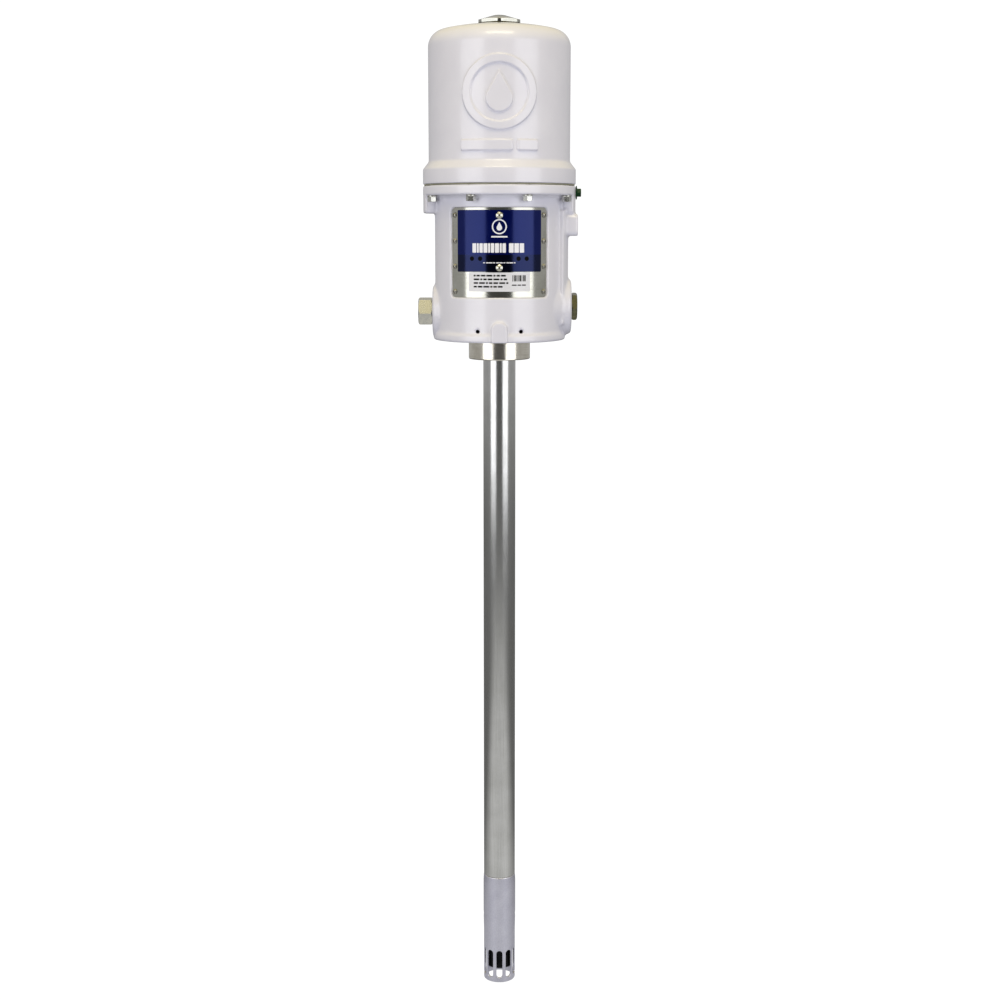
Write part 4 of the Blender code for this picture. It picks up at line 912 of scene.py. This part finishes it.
def make_cap_nut():
    low, high = span("cap_nut_washer")
    washer_r, hole_r, shank_r = 27.2, 10.0, 9.7
    washer = as_object("cap_nut_seal", turned([
        (hole_r, low.z, 0.2), (washer_r, low.z, 0.3), (washer_r - 0.6, high.z, 0.4), (hole_r, high.z, 0.2),
    ], MIDDLE, 3))
    piece(washer, "dark_steel", ["cap_nut_washer"])
    nut_low, nut_top, seat = span("cap_nut")[0].z, span("cap_nut")[1].z + 2.0, high.z + GAP
    nut_shape = hex_head(52.0, seat, nut_top, steps=24, flat=0.30, cone=17.0, corner_r=28.6)
    nut = as_object("cap_nut_hex", nut_shape)
    shank = [(0, nut_low), (shank_r - 0.7, nut_low, 0.5)]
    shank += screw_thread(shank_r, nut_low + 1.0, seat - 2.0, 1.5, 0.7)
    shank += [(shank_r - 0.7, seat + 1.0), (0, seat + 1.0)]
    combine(nut, "UNION", [turned(shank, MIDDLE, 2)])
    rod_hole_r, rod_hole_top = 4.3, 386.0
    rod_hole = cylinder(rod_hole_r, nut_low - 2.0, rod_hole_top, SMALL)
    combine(nut, "DIFFERENCE", [rod_hole, dish(7.0, nut_top, 0.5, 0.5, 0.4)])
    settled(bevel(nut, 0.4, 28.0))
    piece(nut, "stainless_sheet", ["cap_nut"])


# Window plates, badge and label

PRINT_GAP = 0.02  # between a sheet and the print on it


def make_plates():
    for name, facing, nodes in (
        ("front_plate", 0.0, PLATE_SCREWS + BADGE_SCREWS), ("rear_plate", 180.0, REAR_SCREWS),
    ):
        sheet = panel(47.1, PLATE_LOW, PLATE_HIGH, 5.6, PLATE_R - PLATE_THICK, PLATE_R, facing)
        plate = as_object(f"{name}_sheet", sheet)
        combine(plate, "DIFFERENCE", plate_screw_holes(nodes))
        settled(bevel(plate, 0.3, 50.0))
        piece(plate, "stainless_sheet", [name])


def drop_outline(middle_z, belly_r, tip):
    """A drop: a round belly with a point tip above the belly's middle."""
    side = math.asin(belly_r / tip)
    start, end = side - math.pi / 2, -side - math.pi * 3 / 2
    return [(0, middle_z + tip)] + arc(0.0, middle_z, belly_r, start, end, 16)


def printed(outlines, surface_r, thickness):
    """Thin print on a bent sheet, from (arc length, height) outlines."""
    total = bmesh.new()
    for outline in outlines:
        shape = bent(outline, surface_r + PRINT_GAP, surface_r + PRINT_GAP + thickness)
        mesh = bpy.data.meshes.new("scratch")
        shape.to_mesh(mesh)
        shape.free()
        total.from_mesh(mesh)
        bpy.data.meshes.remove(mesh)
    return total


def make_badge():
    sheet = panel(39.6, BADGE_LOW, BADGE_HIGH, 1.5, BADGE_R - BADGE_THICK, BADGE_R)
    badge = as_object("badge_plate", sheet)
    combine(badge, "DIFFERENCE", plate_screw_holes(BADGE_SCREWS))
    settled(bevel(badge, 0.2, 50.0))
    piece(badge, "blue_badge", ["name_badge"])

    sign_z, sign_outer_r, sign_inner_r, thick = 142.4, 9.2, 7.6, 0.08
    ring = as_object("badge_print", printed([circle(sign_outer_r, 48, y=sign_z)], BADGE_R, thick))
    combine(ring, "DIFFERENCE", [bent(circle(sign_inner_r, 48, y=sign_z), BADGE_R - 0.98, BADGE_R + 1.10)])
    marks = [drop_outline(sign_z - 1.4, 3.4, 7.2), rectangle(10.0, 129.3, 131.1, 0.6, 3)]
    block_low, block_high, between = 110.9, 122.3, 0.9
    for x, halves in ((-34.0, (2.5, 1.2, 2.1) * 3), (11.9, (2.9, 2.9, 2.9))):
        for half in halves:
            marks.append(rectangle(half, block_low, block_high, 0.7, 3, x + half))
            x += 2 * half + between
    small_row = 98.0, 99.2
    for index in range(10):
        marks.append(rectangle(1.2 + 0.5 * (index % 3), *small_row, 0.2, 2, -19.0 + 4.2 * index))
    for thing in (ring, as_object("badge_marks", printed(marks, BADGE_R, thick))):
        piece(thing, "print_white", [])
    dots = [circle(2.8, 24, x, 103.6) for x in (-34.8, -24.0, 24.0, 34.8)]
    piece(as_object("badge_dots", printed(dots, BADGE_R, thick)), "print_black", [])


def make_label():
    sheet = panel(28.0, LABEL_LOW, LABEL_HIGH, 0.6, LABEL_R - LABEL_THICK, LABEL_R)
    piece(as_object("spec_label_sheet", sheet), "white_label", ["spec_label"])
    marks = []
    row_start, row_end, half_height, between = -32.5, 12.0, 1.0, 1.3
    for row, z in enumerate((82.9, 78.4, 73.9, 69.4)):
        x = row_start
        for index in range(7):
            half = 1.3 + 0.8 * ((index * 5 + row * 3) % 4)
            x += half
            if x + half > row_end:
                break
            marks.append(rectangle(half, z - half_height, z + half_height, 0.2, 1, x))
            x += half + between
    for index in range(9):
        half = 0.35 + 0.25 * ((index * 7) % 3)
        marks.append(rectangle(half, 75.9, 83.4, 0.05, 1, 16.5 + 2.0 * index))
    for x, half in ((18.5, 3.0), (25.0, 2.2), (31.0, 2.6)):
        marks.append(rectangle(half, 70.6, 72.0, 0.2, 1, x))
    piece(as_object("spec_label_marks", printed(marks, LABEL_R, 0.04)), "print_black", [])


# Riser tube and foot valve


def make_riser():
    low, high = span("riser_collar")
    bore, collar_r, spigot_r, groove_r = TUBE_R + GAP, high.y, BOTTOM_BORE_R - GAP, TUBE_R + GAP + 2.4
    collar_top = span("motor_base")[0].z + 0.7
    groove_low, groove_high = -14.0, -10.0
    collar = as_object("riser_collar_ring", turned([
        (bore, low.z, 0.5), (collar_r, low.z, 1.4), (collar_r, collar_top, 0.4), (spigot_r, collar_top, 0.3),
        (spigot_r, high.z, 0.8), (bore, high.z, 0.4), (bore, groove_high), (groove_r, groove_high),
        (groove_r, groove_low), (bore, groove_low),
    ], BIG, 4))
    piece(collar, "bare_steel", ["riser_collar"])
    top, inner_r, thread_r, thread_top = span("riser_tube")[1].z, 17.8, 19.2, -722.5
    corners = [(inner_r, TUBE_END, 0.3), (thread_r, TUBE_END, 0.4)]
    corners += screw_thread(thread_r, TUBE_END + 1.0, thread_top, 1.5, 0.6)
    corners += [(thread_r - 0.2, thread_top + 1.5), (TUBE_R, thread_top + 1.8, 0.6)]
    corners += [(TUBE_R, top, 0.5), (inner_r, top, 0.4)]
    tube = as_object("riser_tube_body", turned(corners, BIG, 3))
    piece(tube, "tube_steel", ["riser_tube"])


def foot_weight(points):
    """Crisp edges at the slots, softer ones above them."""
    weight = np.full(len(points), 0.25)
    weight[points[:, 2] > FOOT_LOW + 60] = 0.5
    return weight


def make_foot():
    foot_r, mouth_r, seat_r, ball_r, joint_r = 21.0, 18.4, 16.5, 15.2, 19.5
    seat_low, seat_top, joint_low, pin_z = -817.0, -801.7, -738.3, -778.0
    foot = as_object("foot_valve_body", turned([
        (mouth_r, FOOT_LOW, 0.5), (foot_r, FOOT_LOW, 1.2), (foot_r, -800.0), (FOOT_BELLY_R, -778.0, 20.0),
        (FOOT_BELLY_R, -730.0, 6.0), (foot_r, FOOT_TOP, 0.5), (joint_r, FOOT_TOP, 0.2),
        (joint_r, joint_low, 0.2), (ball_r, joint_low, 0.2), (ball_r, seat_top, 0.2),
        (seat_r, seat_top, 0.2), (seat_r, seat_low, 0.2), (mouth_r, seat_low, 0.4),
    ], BIG, 6))
    slots, slot_half, slot_low, slot_high = 10, 4.0, -863.0, -825.0
    cuts = []
    for index in range(slots):
        slot = prism(rectangle(slot_half, slot_low, slot_high, slot_half, 10), 14.0, 26.0)
        cuts.append(moved(slot, outward(360 * index / slots)))
    cuts.append(along_x(cylinder(2.8, -30.0, 30.0, SMALL), z=pin_z))
    combine(foot, "DIFFERENCE", cuts)
    as_casting(foot, 0.7, 3, foot_weight)
    piece(foot, "foot_steel", ["foot_valve_housing"], sharp=60.0, flat=False)

    high = span("intake_seat")[1]
    bore, inner_r, outer_r, sleeve_r, sleeve_low = 8.0, 14.0, 16.2, 17.2, -851.0
    seat = as_object("intake_seat_tube", turned([
        (bore, high.z, 0.3), (outer_r, high.z, 0.3), (outer_r, -816.5, 0.3), (sleeve_r, -818.0, 0.5),
        (sleeve_r, sleeve_low, 0.8), (inner_r, sleeve_low, 0.8), (inner_r, -820.0, 1.0), (bore, -812.0, 0.4),
    ], MIDDLE, 3))
    # the seat is coloured near-black as painted shade, for the shadow inside the foot seen through the slots
    piece(seat, "painted_shadow_steel", ["intake_seat"])


def dress_cad_nodes():
    """Gives every CAD node that still shows the material of its slot, with eased edges."""
    slot_of = {}
    for part in frame["record"]["subparts"]:
        slot_of[part["node"]] = part.get("material_slot") or part.get("material")
    for name, thing in frame["nodes"].items():
        if thing.hide_render:
            continue
        thing.data.materials.clear()
        thing.data.materials.append(MATERIALS[slot_of[name]])
        bevel(thing, 0.3)


# Stage, light and camera

SURROUND = 0.45  # brightness of the room all round
FRONT_DARK = 0.07  # and of the gap in front of the pump, round the camera
CEILING = 0.75
GAP_EDGE = -0.93, -0.82  # the gap's edge, as the Y part of a direction from the pump


def make_floor():
    """White to the camera. To the pump, bright in front of it, dark around that and far off like the room."""
    n = Nodes("studio_white")
    in_front = n.math("DISTANCE", n.place, (0.0, -1.0, cad_box[0].z), kind="VectorMath")
    near = n.spread(in_front, 0.62, 0.14, 0.85, 1.5)
    direction = n.math("NORMALIZE", n.place, kind="VectorMath", output="Vector")
    far = n.spread(n.part(direction, "Y"), FRONT_DARK, SURROUND, *GAP_EDGE)
    distance = n.math("LENGTH", n.place, kind="VectorMath")
    light = n.blend(n.spread(distance, 0.0, 1.0, 4.0, 9.0), near, far, False)
    seen = n.blend(n.add("LightPath").outputs["Is Camera Ray"], light, 1.12, False)
    emission = n.add("Emission", (1, 1, 1, 1), seen).outputs["Emission"]
    gloss = n.add("BsdfGlossy", Roughness=0.12).outputs["BSDF"]
    mix = n.add("MixShader", 0.06, emission, gloss).outputs["Shader"]
    n.set(n.tree.nodes["Material Output"], Surface=mix)
    n.owner.cycles.emission_sampling = "NONE"
    top, half = cad_box[0].z / MM - 1.0, 30000.0
    floor = as_object("floor", prism(rectangle(half, -half, half, 0.0), top - 5.0, top))
    floor.data.materials.append(n.owner)


def make_world():
    """White to the camera. To the pump, a pale room with a dark gap in front and a warm ceiling."""
    n = Nodes("studio", "worlds", "Generated")
    room = n.spread(n.part(n.place, "Y"), FRONT_DARK, SURROUND, *GAP_EDGE)
    above = n.spread(n.part(n.place, "Z"), 0.0, 1.0, 0.25, 0.60)
    cool, warm, white = (0.97, 0.97, 1.0, 1.0), (1.0, 0.90, 0.58, 1.0), (1, 1, 1, 1)
    to_camera = n.add("LightPath").outputs["Is Camera Ray"]
    strength = n.blend(to_camera, n.blend(above, room, CEILING, False), 1.05, False)
    colour = n.blend(to_camera, n.blend(above, cool, warm), white)
    n.set(n.tree.nodes["Background"], Color=colour, Strength=strength)
    bpy.context.scene.world = n.owner


def add_softbox(name, azimuth, elevation, distance, width, height, radiance, colour, aim_z):
    """A rectangular light at a distance from a point on the axis, at angles from the front and upwards."""
    light = bpy.data.lights.new(name, "AREA")
    light.shape = "RECTANGLE"
    light.size, light.size_y = width, height
    light.energy = radiance * math.pi * width * height
    light.color = colour
    lamp = bpy.data.objects.new(name, light)
    across, rise = math.radians(azimuth), math.radians(elevation)
    away = Vector((math.sin(across) * math.cos(rise), -math.cos(across) * math.cos(rise), math.sin(rise)))
    lamp.location = Vector((0, 0, aim_z)) + away * distance
    lamp.rotation_euler = away.to_track_quat("Z", "Y").to_euler()
    lamp.visible_camera = False
    bpy.context.scene.collection.objects.link(lamp)


def make_lights():
    cool, warm = (0.94, 0.95, 1.0), (1.0, 0.90, 0.62)
    for name, azimuth in (("softbox_left", -43.0), ("softbox_right", 43.0)):
        add_softbox(name, azimuth, 0.0, 1.5, 1.05, 1.20, 1.85, cool, 0.18)
    add_softbox("overhead", 0.0, 57.0, 1.6, 0.9, 0.44, 6.0, warm, 0.25)


def make_camera():
    data = bpy.data.cameras.new("camera")
    data.sensor_width = 36.0
    data.lens = 59.24
    data.dof.use_dof = False
    camera = bpy.data.objects.new("camera", data)
    camera.location = (0.0008, -2.120, 0.137)
    camera.rotation_euler = (math.radians(80.72), 0, 0)
    bpy.context.scene.collection.objects.link(camera)
    bpy.context.scene.camera = camera


for make in (
    make_motor_base, make_cover, make_gasket, make_plate_screws, make_cover_screws, make_outlet_adapter,
    make_port_plug, make_ground_screw, make_air_inlet_thread, make_cap_nut, make_plates, make_badge,
    make_label, make_riser, make_foot, dress_cad_nodes, make_floor, make_world, make_lights, make_camera,
):
    make()
bpy.context.scene.view_settings.view_transform = "Standard"
